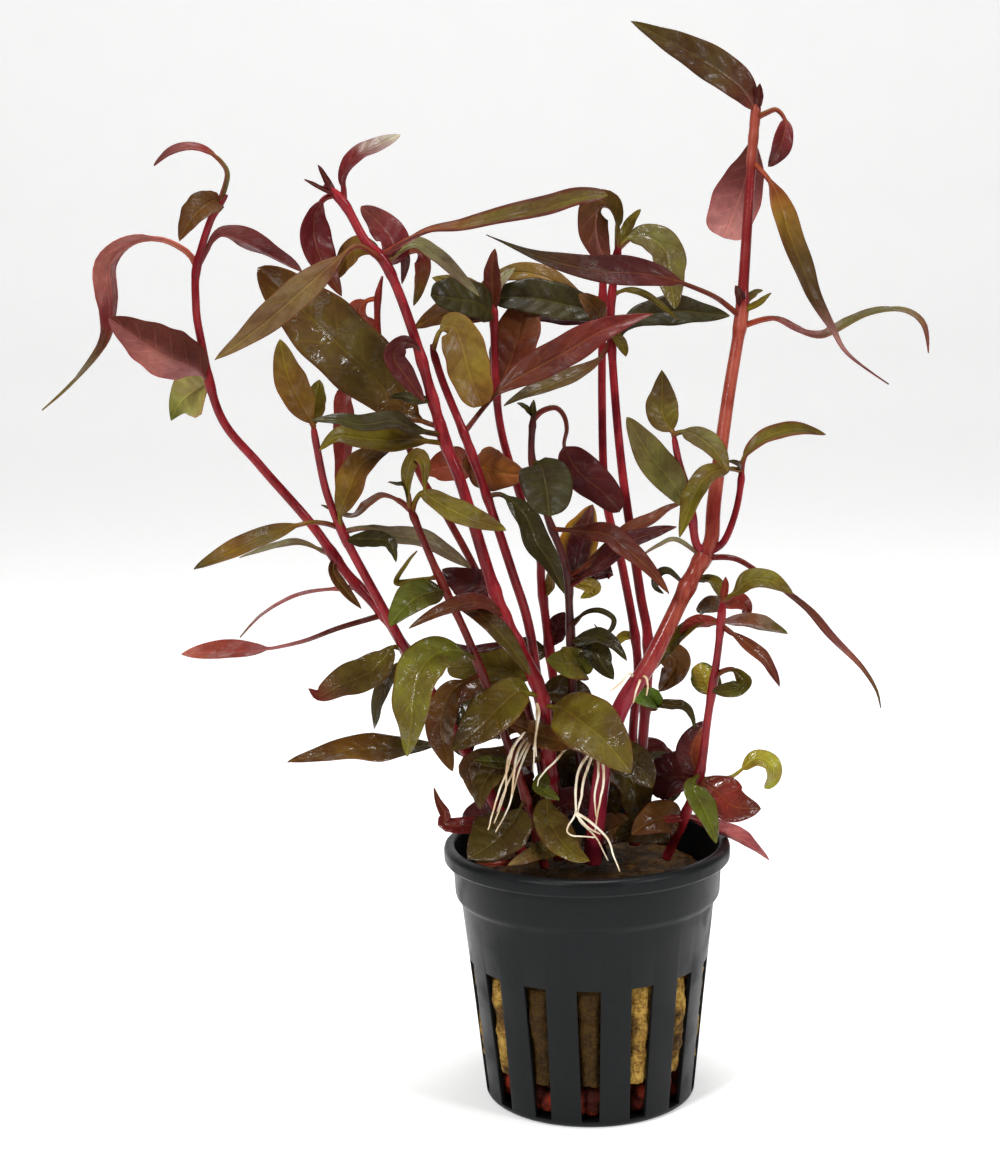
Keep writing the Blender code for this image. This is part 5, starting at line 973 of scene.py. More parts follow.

# %% [markdown]
# Between the feet of the shoots sits a thicket of leaves, so dense that no light comes through. The
# solids hold only those on its outside. The rest are added here, inside that outline, and their dark
# tones are partly their own colour and partly painted shade.

# %% The leaves inside the thicket, dark partly with painted shade
MORE_LEAVES = [
    ("under_left_back", "left_stem", 8, (-4, -7), (30, 25, 20), "olivedark",
     [(-20, 63), (-17, 61), (-13.5, 58), (-11, 54)]),
    ("under_left_dark", "left_stem", 7.5, (-3, -5), (20, 30, 30), "dark",
     [(-21, 65), (-22.5, 69), (-21, 73.5), (-17.5, 77)]),
    ("under_middle_maroon", "thin_back_stem", 8, (-2, -4), (20, 20, 20), "maroon",
     [(-9.5, 69), (-12, 66.5), (-13, 62), (-12, 57)]),
    ("under_middle_olive", "second_stem", 8, (-2, -3), (25, 20, 20), "olivedark",
     [(-7, 68), (-4.5, 65), (-3, 60), (-4, 55)]),
    ("under_middle_dark", "bud_stem", 8, (-2, -3), (20, 20, 20), "dark",
     [(-3, 67), (0, 64), (2.5, 60), (3, 55)]),
    ("under_middle_brown", "crook_stem", 7, (-4, -6), (20, 20, 20), "brown",
     [(-1, 66), (2.5, 65), (6, 62.5), (8, 58)]),
    ("under_right_olive", "tall_front_stem", 8, (-1, -1), (20, 20, 20), "olivedark",
     [(10, 62), (7, 60), (4, 57), (3, 52)]),
    ("under_right_maroon", "tall_back_stem", 8, (2, 3), (20, 20, 20), "maroon",
     [(9, 69), (11.5, 66), (13.5, 62), (13.5, 57)]),
    ("under_right_dark", "tall_front_stem", 7, (2, 4), (20, 20, 30), "dark",
     [(10.3, 64), (13, 63.5), (15.5, 60.5), (16, 56)]),
    ("under_high_olive", "main_stem", 8, (-5, -8), (20, 20, 20), "olivedark",
     [(-8, 77), (-5, 77.5), (-1.5, 75.5), (1.5, 72)]),
    ("under_high_brown", "thin_back_stem", 7.5, (-2, -4), (20, 20, 20), "brown",
     [(-9.5, 71), (-13, 72.5), (-17, 72), (-20, 69)]),
    ("back_maroon", "tall_back_stem", 8, (-2, -2), (160, 160, 160), "maroon",
     [(8.7, 62), (5, 61), (1, 58), (-2, 53)]),
    ("back_olive", "thin_back_stem", 8, (-6, -8), (150, 160, 160), "olive",
     [(-8, 60), (-11, 58), (-14, 55), (-15.5, 50.5)]),
    ("back_bronze", "bud_stem", 7.5, (-6, -9), (150, 160, 160), "greenbrown",
     [(-1, 60), (-4.5, 59), (-7.5, 56), (-9, 51)]),
    ("back_right", "tall_back_stem", 7.5, (-4, -7), (150, 160, 160), "olive",
     [(9, 66), (12.5, 65), (15, 61), (16, 56)]),
    ("wool_brown", "tall_front_stem", 7, (4, 7), (20, 30, 40), "brown",
     [(9.3, 53), (6, 51.5), (2, 49.5), (-1, 48)]),
    ("wool_olive", "low_right_stem", 6.5, (-3, -5), (20, 30, 40), "olivedark",
     [(16, 48.5), (12.5, 50.5), (8.5, 50.5), (5, 49)]),
    ("wool_maroon", "left_stem", 7, (-3, -5), (20, 30, 30), "maroon",
     [(-15, 52), (-17.5, 54), (-21, 53.5), (-23, 51)]),
    ("foot_maroon", "crook_stem", 6.5, (3, 5), (20, 20, 30), "maroon",
     [(2, 54), (-0.5, 56), (-4, 56), (-7, 53.5)]),
    ("foot_olive", "right_stem_low", 7, (3, 5), (20, 20, 20), "olivedark",
     [(3.5, 64.5), (6.5, 65), (10, 63), (12.5, 59)]),
]
ALL_LEAVES = LEAVES + MORE_LEAVES
print(len(MORE_LEAVES), "more leaves inside")

# %% [markdown]
# A shoot is a long soft rod with a swollen joint, called a node, wherever a pair of leaves leaves it. A
# curve with a round bevel is the natural tool: it takes a radius at every point, so the taper and the
# swellings are just numbers along it. It is then made a mesh, because the finish reads the shoot's own
# places.

# %% Model the shoots
SHOOT_STEP = 0.7
NODE_SWELL = 0.22
NODE_LENGTH = 1.5
BUD_LENGTH = 3.4
BUD_WIDTH = 0.3
# Points of a rod nearer than this are one point, in metres
MERGE_NEAR = 0.00002
# The lower part of the forked shoot goes on above its fork, so it doesn't taper to a bud
FORKED = "right_stem_low"
# How many places along a shoot are tried for a leaf's foot, and how near its tip the last one may be
FOOT_TRIES = 80
LAST_FOOT = 0.98
# Where a side shoot's foot starts, inside the shoot that it grows from
FEET = {
    "right_stem_high": (22.3, 102.4, 8.3),
    "right_side_stem": (23.0, 103.4, 8.2),
    "right_short_stem": (23.2, 103.6, 8.2),
    "left_side_stem": (-32.6, 85.4, 4.2),
}


def stem_spot(stem, across, up):
    """Where a leaf leaves its shoot, nearest to a place on the front view, and the shoot's radius there."""
    name, finish, low, high, places = stem
    line = [Vector(spot) for spot in places]
    shares = [k / FOOT_TRIES for k in range(FOOT_TRIES + 1)]
    wanted = Vector((across, up))
    nearest = min(shares, key=lambda share: (curve_point(line, share).xy - wanted).length)
    nearest = min(nearest, LAST_FOOT)
    return curve_point(line, nearest), (low + (high - low) * nearest) / 2


def rod(name, spots, radii, fineness=3):
    """A round rod through its spots, as a curve with a bevel that is then made a mesh."""
    select_none()
    bpy.ops.curve.primitive_nurbs_path_add()
    curve = bpy.context.active_object
    curve.data.splines.clear()
    line = curve.data.splines.new("POLY")
    line.points.add(len(spots) - 1)
    for point, spot, radius in zip(line.points, spots, radii):
        point.co = (*spot, 1.0)
        point.radius = radius
    curve.data.bevel_depth = MM
    curve.data.bevel_resolution = fineness
    curve.data.use_fill_caps = True
    curve.data.twist_mode = "MINIMUM"
    bpy.ops.object.convert(target="MESH")
    piece = new_piece(name)
    bpy.ops.object.mode_set(mode="EDIT")
    bpy.ops.mesh.select_all(action="SELECT")
    bpy.ops.mesh.remove_doubles(threshold=MERGE_NEAR)
    bpy.ops.mesh.normals_make_consistent(inside=False)
    bpy.ops.object.mode_set(mode="OBJECT")
    bpy.ops.object.shade_smooth()
    return piece


def shoot(stem):
    """One shoot with its taper, its nodes and a rounded growing tip."""
    name, finish, low, high, places = stem
    start = [FEET[name]] if name in FEET else []
    spots = [place(*spot) for spot in start + places]
    long = length_of(spots)
    steps = round(long / (SHOOT_STEP * MM))
    nodes = [place(*stem_spot(stem, *leaf[-1][0])[0]) for leaf in LEAVES if leaf[1] == name]
    middles, radii = [], []
    for k in range(steps + 1):
        share = k / steps
        middle = curve_point(spots, share)
        swell = sum(math.exp(-((middle - node).length / (NODE_LENGTH * MM)) ** 2) for node in nodes)
        radius = (low + (high - low) * share) / 2
        bud = 1.0
        if name != FORKED:
            bud = min(1.0, BUD_WIDTH + (1.0 - BUD_WIDTH) * (1.0 - share) * long / MM / BUD_LENGTH)
        middles.append(middle)
        radii.append(radius * (1 + NODE_SWELL * min(swell, 1.0)) * bud)
    return rod("shoot_" + name, middles, radii)


shoots = {stem[0]: shoot(stem) for stem in STEMS}
print(len(shoots), "shoots,", sum(triangle_count(piece) for piece in shoots.values()), "triangles")

# %% [markdown]
# The rind of a shoot is wet and translucent, crimson on most of them and salmon where it is old and
# thick. Fine lengthways fibres show through it, with paler pores. All the shoots rise, so the streaks are
# drawn by a noise that is stretched upwards. The salmon shoot is crimson at its foot and again between
# two heights near its top, which the height on the piece decides.

# %% Rind of the shoots, one finish for each colour
RIND = {
    "crimson": ((0.110, 0.004, 0.007), (0.250, 0.013, 0.018), "stem_crimson"),
    "red": ((0.072, 0.005, 0.004), (0.165, 0.015, 0.010), "stem_crimson"),
    "maroon": ((0.030, 0.006, 0.006), (0.085, 0.014, 0.011), "stem_crimson"),
    "salmon": ((0.172, 0.016, 0.012), (0.290, 0.058, 0.034), "stem_salmon"),
}
# The salmon shoot is crimson below these heights, and again between those of the second row
FOOT_ENDS, FOOT_FULL = 95, 76
TOP_STARTS, TOP_FULL, TOP_FADES, TOP_ENDS = 147, 150, 172, 177
rinds = {}
for name, (deep, pale, slot) in RIND.items():
    rind, tree, shader = new_material("rind_" + name, shine=0.20)
    where = place_on(tree)
    fibres = noise(tree, place_on(tree, (1.0, 1.0, 0.10)), 0.6, 3.0)
    patches = noise(tree, where, 7.0, 3.0)
    pores = cells(tree, where, 0.9)
    tinge = maths(tree, "MULTIPLY_ADD", fibres, 0.35, maths(tree, "MULTIPLY", patches, 0.65))
    base = mixed(tree, between(tree, tinge, 0.36, 0.62), deep, pale)
    base = mixed(tree, between(tree, pores, 0.20, 0.08, 0.0, 0.30), base, pale)
    if name == "salmon":
        height = axes(tree, where)[2]
        foot = between(tree, height, FOOT_ENDS * MM, FOOT_FULL * MM, 0.0, 0.8)
        base = mixed(tree, foot, base, (0.230, 0.009, 0.030))
        upper = maths(tree, "MULTIPLY", between(tree, height, TOP_STARTS * MM, TOP_FULL * MM),
                      between(tree, height, TOP_ENDS * MM, TOP_FADES * MM))
        base = mixed(tree, maths(tree, "MULTIPLY", upper, 0.75), base, (0.160, 0.007, 0.012))
    plug(tree, base, shader.inputs["Base Color"])
    plug(tree, between(tree, patches, 0.3, 0.7, 0.16, 0.34), shader.inputs["Roughness"])
    bumped(tree, shader, maths(tree, "MULTIPLY_ADD", pores, 0.8, fibres), 0.03)
    rinds[name] = (rind, slot)
for stem in STEMS:
    rind, slot = rinds[stem[1]]
    finish_piece(shoots[stem[0]], rind, stem[0])
print("rinds:", ", ".join(rinds))

# %% [markdown]
# All the leaves of this plant share one build: a lance-shaped blade that narrows into a short stalk, a
# pale midrib in a shallow furrow, and about seven pairs of side veins that sweep towards the tip, with
# the blade quilted between them. So one master blade is modelled on a flat grid, in its own measures:
# 0 to 1 along the midrib and -1 to 1 across. Its furrows are pressed in by moving rows of points, and
# it gets its thickness from a Solidify modifier, whose second skin is the underside.

# %% Model the master blade
ALONG = 44
ACROSS = 18
VEINS = 7
VEIN_SWEEP = 0.16
SKIN = 0.1
QUILT = 0.034
FURROW = 0.045
FURROW_WIDTH = 0.07
QUILT_WIDTH = 0.95
select_none()
bpy.ops.mesh.primitive_grid_add(x_subdivisions=ALONG, y_subdivisions=ACROSS, size=1.0, location=(0.5, 0, 0))
master = new_piece("master_blade")
reshape(master, lambda co: True, bpy.ops.transform.resize, value=(1.0, 2.0, 1.0))


def vein_phase(along, across):
    """How far between two side veins a place lies, 0 or 1 on a vein."""
    return (along - abs(across) * VEIN_SWEEP) * VEINS % 1.0


reshape(master, lambda co: co.x > 0.999, bpy.ops.mesh.merge, type="CENTER")
with_modifier(master, "SOLIDIFY", thickness=2 * SKIN, offset=0.0)
for _ in ("upper face", "underside"):
    master.data.materials.append(None)
for face in master.data.polygons:
    face.material_index = int(face.center.z < 0)
# The quilting, in shares of the blade's half width: a low step, and a narrower one on top of it
for low, high in ((0.15, 0.85), (0.30, 0.70)):
    reshape(master, lambda co: FURROW_WIDTH < abs(co.y) < QUILT_WIDTH and low < vein_phase(co.x, co.y) < high,
            bpy.ops.transform.translate, value=(0, 0, QUILT / 2))
reshape(master, lambda co: abs(co.y) < FURROW_WIDTH, bpy.ops.transform.translate, value=(0, 0, -FURROW))
smoothed(master)
print("master blade of", triangle_count(master), "triangles")

# %% [markdown]
# The leaf table gives each leaf's shoot, width, reach, facing and midrib. A copy of the master is laid
# along that midrib: each of its points finds its place along the curve, goes sideways by the blade's
# width there, and off the surface by its own height. Blender's bend tools can't follow a curve that
# also twists, so this step is code. Each leaf also gets a cup, and an edge wave of its own, so no two are
# alike.

# %% Leaves with a shape or a wetness of their own
# A leaf that isn't a plain lance: the share that is bare stalk, how its blade opens and closes (0.5 is
# blunt and 1 is pointed), and how deep its edge waves
OWN_SHAPES = {
    "left_arch": (0.2, 0.5, 1.2, 0.06), "left_lance": (0.58, 0.8, 1.0, 0.03),
    "left_low_olive": (0.3, 0.8, 1.0, 0.03), "left_crown_curl": (0.42, 0.8, 1.0, 0.03),
    "left_crown_fold": (0.08, 0.5, 1.05, 0.03), "left_veined": (0.12, 0.55, 0.9, 0.03),
    "crook_loop": (0.46, 0.4, 0.6, 0.03), "crook_round": (0.16, 0.5, 0.5, 0.0),
    "left_hidden": (0.08, 0.5, 1.3, 0.02), "big_matte": (0.26, 0.75, 1.05, 0.02),
    "long_crimson": (0.22, 0.8, 1.15, 0.03), "fork_strap": (0.28, 0.7, 1.1, 0.08),
    "low_yellow": (0.45, 0.6, 0.6, 0.0), "top_pink": (0.05, 0.95, 0.42, 0.06),
    "top_blade": (0.05, 0.55, 1.05, 0.02), "top_strap": (0.12, 0.6, 1.5, 0.03),
    "top_crook": (0.42, 0.7, 0.9, 0.03), "node_right": (0.14, 0.6, 1.0, 0.08),
    "tan_leaf": (0.22, 0.4, 0.42, 0.03), "crown_wing": (0.06, 0.6, 0.8, 0.02),
    "crown_hang": (0.16, 0.6, 1.0, 0.04), "node_long_olive": (0.12, 1.0, 0.55, 0.01),
    "node_left_long": (0.3, 0.7, 1.6, 0.05), "dark_top_wide": (0.05, 0.5, 0.5, 0.03),
    "top_dark_wide": (0.05, 0.55, 0.6, 0.03), "tall_brown_hood": (0.2, 0.5, 0.7, 0.02),
    "tall_green": (0.14, 0.5, 0.8, 0.03), "mid_dark_red": (0.08, 0.6, 0.6, 0.03),
    "sprig_up": (0.08, 0.65, 1.2, 0.02), "sprig_left": (0.14, 0.8, 0.9, 0.02),
    "big_glossy": (0.1, 0.7, 0.75, 0.04), "low_orange": (0.1, 0.5, 0.9, 0.0),
    "low_right_ring": (0.3, 0.5, 0.7, 0.0), "low_right_cup": (0.02, 0.4, 0.5, 0.0),
    "rim_red": (0.4, 0.4, 0.9, 0.02), "low_bright": (0.02, 0.6, 0.7, 0.0),
    "low_gloss_flat": (0.1, 0.6, 0.6, 0.03), "node_grey": (0.1, 0.8, 1.0, 0.02),
}
# How wet a leaf is. The others get drier with height, in millimetres
DAMP = {
    "big_matte": 0.0, "big_glossy": 1.0, "tall_green": 0.9, "low_right_olive": 0.5, "crook_round": 0.2,
    "top_pink": 0.0, "left_veined": 0.1, "left_hidden": 0.1, "orange_left": 0.1, "orange_right": 0.1,
    "top_blade": 0.5, "sprig_cross": 0.8, "sprig_left": 0.2, "star_up_right": 0.3, "star_right": 0.4,
    "star_point": 0.3, "node_right": 0.5, "right_flag": 0.2,
}
WET_HEIGHTS = (70, 115)
WET_SHARES = (1.0, 0.4)
# The same measures of a plain lance, whose wave is drawn by lot
PLAIN_STALK = 0.16
SHORT_LEAF_STALK = 0.08
PLAIN_OPENS = 0.75
PLAIN_CLOSES = 0.98
print(len(OWN_SHAPES), "leaves with a shape of their own,", len(DAMP), "with their own wetness")

# %% Where a leaf's midrib runs, and how its blade faces along it
STALK_SUNK = 0.3


def leaf_midrib(leaf):
    """A leaf's midrib in space, from inside its shoot to its tip."""
    name, stem_name, width, (middle, tip), facing, finish, places = leaf
    stem = next(item for item in STEMS if item[0] == stem_name)
    foot, stem_radius = stem_spot(stem, *places[0])
    seen = [Vector((foot[0], foot[1], 0.0))] + [Vector((a, u, 0.0)) for a, u in places[1:]]
    runs = [0.0]
    for here, after in zip(seen, seen[1:]):
        runs.append(runs[-1] + (after - here).length)
    spots = []
    for spot, run in zip(seen, runs):
        share = run / runs[-1]
        # A bow through nothing at the base, then the middle's and the tip's own reach
        reach = share * (4 * middle - tip) + share ** 2 * (2 * tip - 4 * middle)
        spots.append(place(spot[0], spot[1], foot[2] + reach))
    spots[0] -= (spots[1] - spots[0]).normalized() * stem_radius * STALK_SUNK * MM
    return spots


def leaf_frame(spots, facing, share):
    """Middle, sideways and upper directions of the blade at a share of the leaf."""
    middle = curve_point(spots, share)
    along = heading(spots, share)
    to_eye = (EYE * MM - middle).normalized()
    to_eye = (to_eye - along * to_eye.dot(along)).normalized()
    turn = math.radians(three_way(*facing, share))
    hand = 1.0 if spots[-1].x > spots[0].x else -1.0
    upper = to_eye * math.cos(turn) + to_eye.cross(along) * hand * math.sin(turn)
    return middle, upper.cross(along), upper


print("a leaf starts", STALK_SUNK, "of its shoot's radius inside the rind")

# %% Lay a copy of the master blade along a leaf's midrib
LEAF_THICKNESS = 0.34
STALK_THICKNESS = 0.85
STALK_WIDTH = 0.9
LEAF_FOLD = 0.22
MIDRIB_RISE = 0.30
EDGE_NOTCH = 0.03
FRAMES = 60
# Roughly a full turn, in radians, for the waves of the edge
WAVE_TURN = 6.28


def blade_width(share, stalk, opens, closes):
    """How wide the blade is at each share of the leaf, from 0 on the stalk to 1 at its widest."""
    u = np.clip((share - stalk) / (1.0 - stalk), 0.0, 1.0)
    widest = opens / (opens + closes)
    return u ** opens * (1.0 - u) ** closes / (widest ** opens * (1.0 - widest) ** closes)


def skin_offset(share, across, skin, blade):
    """How far each skin lies off the middle of the blade: half its thickness, and the midrib below."""
    stalky = np.clip(1.0 - blade * 2.5, 0.0, 1.0)
    thin = LEAF_THICKNESS * (1.0 - 0.6 * across ** 2) * (1.0 - 0.5 * share)
    thick = thin + (STALK_THICKNESS * (1.0 - 0.4 * np.abs(across)) - thin) * stalky * (1.0 - share)
    below = (skin < 0) & (np.abs(across) < FURROW_WIDTH)
    return skin * thick / 2, np.where(below, -MIDRIB_RISE * (1.0 - 0.7 * share), 0.0)


def store(piece, name, values):
    """Stores one number or three on each point of a piece, under a name that a material can read."""
    kind, field = ("FLOAT", "value") if values.ndim == 1 else ("FLOAT_VECTOR", "vector")
    kept = piece.data.attributes.new(name, kind, "POINT")
    kept.data.foreach_set(field, np.ascontiguousarray(values, dtype=np.float32).ravel())


def laid_leaf(leaf):
    """A leaf's blade, bent along its midrib, with what its finish needs stored on its points."""
    name, stem_name, width, reach, facing, finish, places = leaf
    draw = random.Random("leaf " + name)
    piece = master.copy()
    piece.data = master.data.copy()
    piece.name = piece.data.name = "blade_" + name
    bpy.context.scene.collection.objects.link(piece)
    flat = np.empty(len(piece.data.vertices) * 3)
    piece.data.vertices.foreach_get("co", flat)
    share, across, off = flat.reshape(-1, 3).T
    bare = SHORT_LEAF_STALK if len(places) < 5 else PLAIN_STALK
    plain = (bare, PLAIN_OPENS, PLAIN_CLOSES, draw.uniform(0.02, 0.08))
    stalk, opens, closes, waviness = OWN_SHAPES.get(name, plain)
    blade = blade_width(share, stalk, opens, closes)
    half = np.maximum(width / 2 * blade, STALK_WIDTH / 2 * (1.0 - share))
    waves, phase, notches = draw.uniform(1.6, 3.2), draw.uniform(0, WAVE_TURN), draw.uniform(3, 5)
    notched = min(EDGE_NOTCH, waviness) * np.sin(WAVE_TURN * notches * share + phase)
    sideways = across * half * (1.0 + notched * np.minimum(1.0, 2 * blade))
    ruffle = (waviness * np.minimum(1.0, 3 * blade) * across ** 2
              * np.sin(WAVE_TURN * waves * share + phase + 1.9 * (across > 0)))
    cup = LEAF_FOLD * (1.28 * np.abs(across) ** 1.15 - 0.28 * across ** 4)
    skin = np.sign(off)
    pressed = (off - skin * SKIN) * np.minimum(1.0, 2 * blade)
    thick, rib = skin_offset(share, across, skin, blade)
    height = half * (cup + ruffle + pressed) + thick + rib
    spots = leaf_midrib(leaf)
    rows = np.linspace(0.0, 1.0, FRAMES + 1)
    frames = np.array([leaf_frame(spots, facing, row) for row in rows])
    middle, side, upper = ([np.interp(share, rows, frames[:, part, axis]) for axis in range(3)]
                           for part in range(3))
    laid = [middle[axis] + (side[axis] * sideways + upper[axis] * height) * MM for axis in range(3)]
    piece.data.vertices.foreach_set("co", np.stack(laid, 1).ravel())
    damp = DAMP.get(name, float(np.interp(places[-1][1], WET_HEIGHTS, WET_SHARES)))
    store(piece, "blade_place", np.stack([share, across, sideways], 1))
    store(piece, "blade_damp", np.full(len(share), damp))
    return piece


blades = {leaf[0]: laid_leaf(leaf) for leaf in ALL_LEAVES}
bpy.data.objects.remove(master, do_unlink=True)
print(len(blades), "leaves,", sum(triangle_count(piece) for piece in blades.values()), "triangles")

# %% [markdown]
# Every leaf changes colour along its length, and its two faces differ: the upper face runs from green
# through bronze to wine red, and the underside is mostly a dull rose with crimson veins. One table names
# the tones, the leaf table says which one the viewer sees, and a second list names the leaves that change
# along the way. The tones are stored on the points of the leaf for both faces.

# %% Tones of the leaves, each with the finish that it counts as
TONES = {
    "pink": ((0.36, 0.085, 0.085), "leaf_pink"),
    "rose": ((0.25, 0.078, 0.066), "leaf_pink"),
    "palepink": ((0.42, 0.17, 0.16), "leaf_pink"),
    "pinkolive": ((0.28, 0.10, 0.055), "leaf_pink"),
    "mauve": ((0.20, 0.085, 0.090), "leaf_pink"),
    "silver": ((0.34, 0.32, 0.27), "leaf_pink"),
    "red": ((0.160, 0.017, 0.011), "leaf_red"),
    "redorange": ((0.20, 0.036, 0.013), "leaf_red"),
    "orange": ((0.170, 0.052, 0.009), "leaf_red"),
    "crimson": ((0.126, 0.012, 0.013), "leaf_red"),
    "salmon": ((0.30, 0.070, 0.040), "leaf_red"),
    "maroon": ((0.050, 0.006, 0.007), "leaf_maroon"),
    "wine": ((0.096, 0.008, 0.011), "leaf_maroon"),
    "redbrown": ((0.098, 0.021, 0.009), "leaf_maroon"),
    "brownred": ((0.068, 0.013, 0.007), "leaf_maroon"),
    "redolive": ((0.125, 0.044, 0.014), "leaf_maroon"),
    "redgrey": ((0.150, 0.040, 0.036), "leaf_maroon"),
    "brown": ((0.070, 0.026, 0.005), "leaf_brown"),
    "brownolive": ((0.046, 0.022, 0.005), "leaf_brown"),
    "khaki": ((0.098, 0.056, 0.021), "leaf_brown"),
    "amber": ((0.130, 0.062, 0.008), "leaf_brown"),
    "tan": ((0.150, 0.096, 0.017), "leaf_brown"),
    "yelloworange": ((0.30, 0.16, 0.012), "leaf_brown"),
    "olive": ((0.092, 0.064, 0.006), "leaf_olive"),
    "olivedark": ((0.040, 0.024, 0.004), "leaf_olive"),
    "greenbrown": ((0.080, 0.052, 0.010), "leaf_olive"),
    "greyolive": ((0.092, 0.077, 0.020), "leaf_olive"),
    "grey": ((0.13, 0.105, 0.062), "leaf_olive"),
    "dark": ((0.026, 0.021, 0.005), "leaf_olive"),
    "green": ((0.062, 0.066, 0.006), "leaf_green"),
    "bright": ((0.075, 0.120, 0.010), "leaf_green"),
    "lime": ((0.20, 0.185, 0.020), "leaf_green"),
    "limeolive": ((0.108, 0.093, 0.010), "leaf_green"),
    "yellow": ((0.28, 0.22, 0.022), "leaf_green"),
    "limekhaki": ((0.27, 0.23, 0.065), "leaf_green"),
}
print(len(TONES), "tones")

# %% Leaves that change tone from base to tip, or across
CHANGING = {
    "left_veined": ("mauve", "rose", "redgrey"),
    "left_arch": ("pinkolive", "rose", "rose", "crimson", "greyolive", "olive"),
    "left_arch_right": ("wine", "redgrey", "wine", "redgrey"),
    "left_crown_curl": ("greyolive", "greyolive", "crimson", "redgrey", "brownred"),
    "left_crown_fold": ("brown",),
    "left_hidden": ("limekhaki", "limekhaki", "green"),
    "left_thread": ("redgrey", "palepink", "greyolive"),
    "left_lance": ("brownred", "brownred", "mauve", "red", "salmon"),
    "left_low_under": ("olive", "grey", "grey"),
    "left_low_olive": ("brownred", "amber", "greenbrown", "amber", "olivedark"),
    "left_curled_tip": ("olive", "olive", "greenbrown", "wine"),
    "side_up_left": ("amber", "amber", "olive"),
    "side_node_up": ("olive", "amber", "olivedark"),
    "big_matte": ("redbrown", "khaki", "khaki"),
    "big_glossy": ("brown", "greenbrown", "brown"),
    "node_gloss_hook": ("olive", "amber", "amber"),
    "crown_twist": ("wine", "wine", "silver"),
    "crown_hang": ("wine", "wine", "brownred"),
    "crown_wing": ("wine", "wine", "redgrey"),
    "back_red_small": ("redorange", "red", "red"),
    "node_red_hang": ("redolive", "red", "olive"),
    "node_grey": ("greyolive", "grey", "grey"),
    "node_long_olive": ("red", "greenbrown", "greenbrown"),
    "node_left_long": ("brownred", "maroon", "dark"),
    "tan_leaf": ("tan", "tan", "amber"),
    "top_strap": ("redorange", "amber", "brownolive", "brownolive", "mauve", "maroon"),
    "top_blade": ("brownred", "brownolive", "brownolive", "olivedark"),
    "top_crook": ("redolive", "crimson", "maroon"),
    "top_pink": ("brownred", "redgrey", "palepink"),
    "top_olive_back": ("brown", "amber", "olive"),
    "top_brown_back": ("brownred", "maroon", "brown"),
    "dark_top_low": ("brownred", "brown", "brown"),
    "node_right": ("redorange", "redgrey", "greyolive", "greyolive", "redgrey"),
    "fork_strap": ("crimson", "brownred", "brownred", "redgrey", "olivedark"),
    "low_red": ("brownred", "red", "brownred"),
    "low_pink_tip": ("wine", "pink", "pink"),
    "low_right_pink": ("redbrown", "redolive", "green"),
    "low_right_lance": ("redbrown", "redbrown", "maroon"),
    "low_right_olive": ("olive", "limeolive", "olive"),
    "low_right_ring": ("redolive", "olive", "green", "olivedark"),
    "low_orange": ("redbrown", "redorange", "salmon"),
    "tall_green": ("greyolive", "greyolive", "greenbrown"),
    "tall_brown_hood": ("green", "brown", "brownred"),
    "long_crimson": ("brownred", "brownred", "crimson"),
    "long_olive": ("brownred", "greenbrown", "olivedark"),
    "low_long_brown": ("dark", "olivedark", "amber", "brown"),
    "low_yellow": ("green", "yellow", "lime"),
    "low_bright_left": ("green", "limeolive", "limeolive"),
    "green_side": ("dark", "green", "green"),
    "mid_dark_red": ("redbrown", "redbrown", "redolive"),
    "crook_loop": ("brownred", "maroon", "maroon"),
    "crook_yellow_edge": ("maroon", "maroon", "brownred"),
    "sprig_up": ("olive", "greenbrown", "olivedark"),
    "sprig_right": ("greyolive", "greyolive", "olive"),
    "low_gloss_big": ("limeolive", "olive", "olivedark"),
    "low_gloss_right": ("olive", "olive", "greenbrown"),
    "pot_leaf_big": ("olivedark",),
    "pot_leaf_gloss": ("olive", "greenbrown", "olive"),
    "low_back_olive": ("olivedark", "olivedark", "olive"),
    "low_back_brown": ("olivedark", "brown", "brownred"),
    "left_dark_hook": ("olivedark", "olivedark", "dark"),
    "brown_band": ("brownred", "brownred", "brown"),
    "olive_band": ("brownred", "olivedark", "olivedark"),
    "rim_red": ("maroon", "maroon", "crimson", "brownred"),
    "rim_tan": ("greyolive", "greenbrown", "khaki"),
    "tan_low": ("brown", "khaki", "brown"),
    "arch_far": ("brownred", "redolive", "olivedark"),
    "low_dark_arch": ("olivedark", "olivedark", "dark"),
    "low_round": ("green", "limeolive", "green"),
}
# A leaf whose margin has another tone than its middle
MARGINS = {
    "crook_yellow_edge": "yelloworange", "right_flag": "redolive", "node_long_olive": "brownred",
    "low_right_cup": "green", "orange_right": "redolive",
}
# A leaf whose one half has another tone
HALVES = {"left_veined": "brownred", "low_orange": "maroon"}
print(len(CHANGING), "leaves that change along the way")

# %% Store the tones of both faces on each leaf
ROSE_UNDERSIDE = (0.20, 0.036, 0.036)
ROSE_SHARE = 0.65
BRONZE_UPPERSIDE = (0.105, 0.050, 0.010)
BRONZE_SHARE = 0.7
STALK_BLUSH = 0.6
BLUSH_REACH = 0.14
MARGIN_STARTS = 0.55
MARGIN_FADE = 0.3
HALF_FADE = 0.5
FIRST_TONE = 0.08
LAST_TONE = 0.95


def tone_along(names, share):
    """The tone at each share of a leaf, from its tones spaced evenly from base to tip."""
    stops = np.linspace(FIRST_TONE, LAST_TONE, len(names))
    tones = np.array([TONES[name][0] for name in names])
    return np.stack([np.interp(share, stops, tones[:, part]) for part in range(3)], 1)


def tinted(seen, tone, share):
    """Tones mixed with one other tone, by a share of it on each point."""
    return seen * (1.0 - share) + np.array(tone) * share


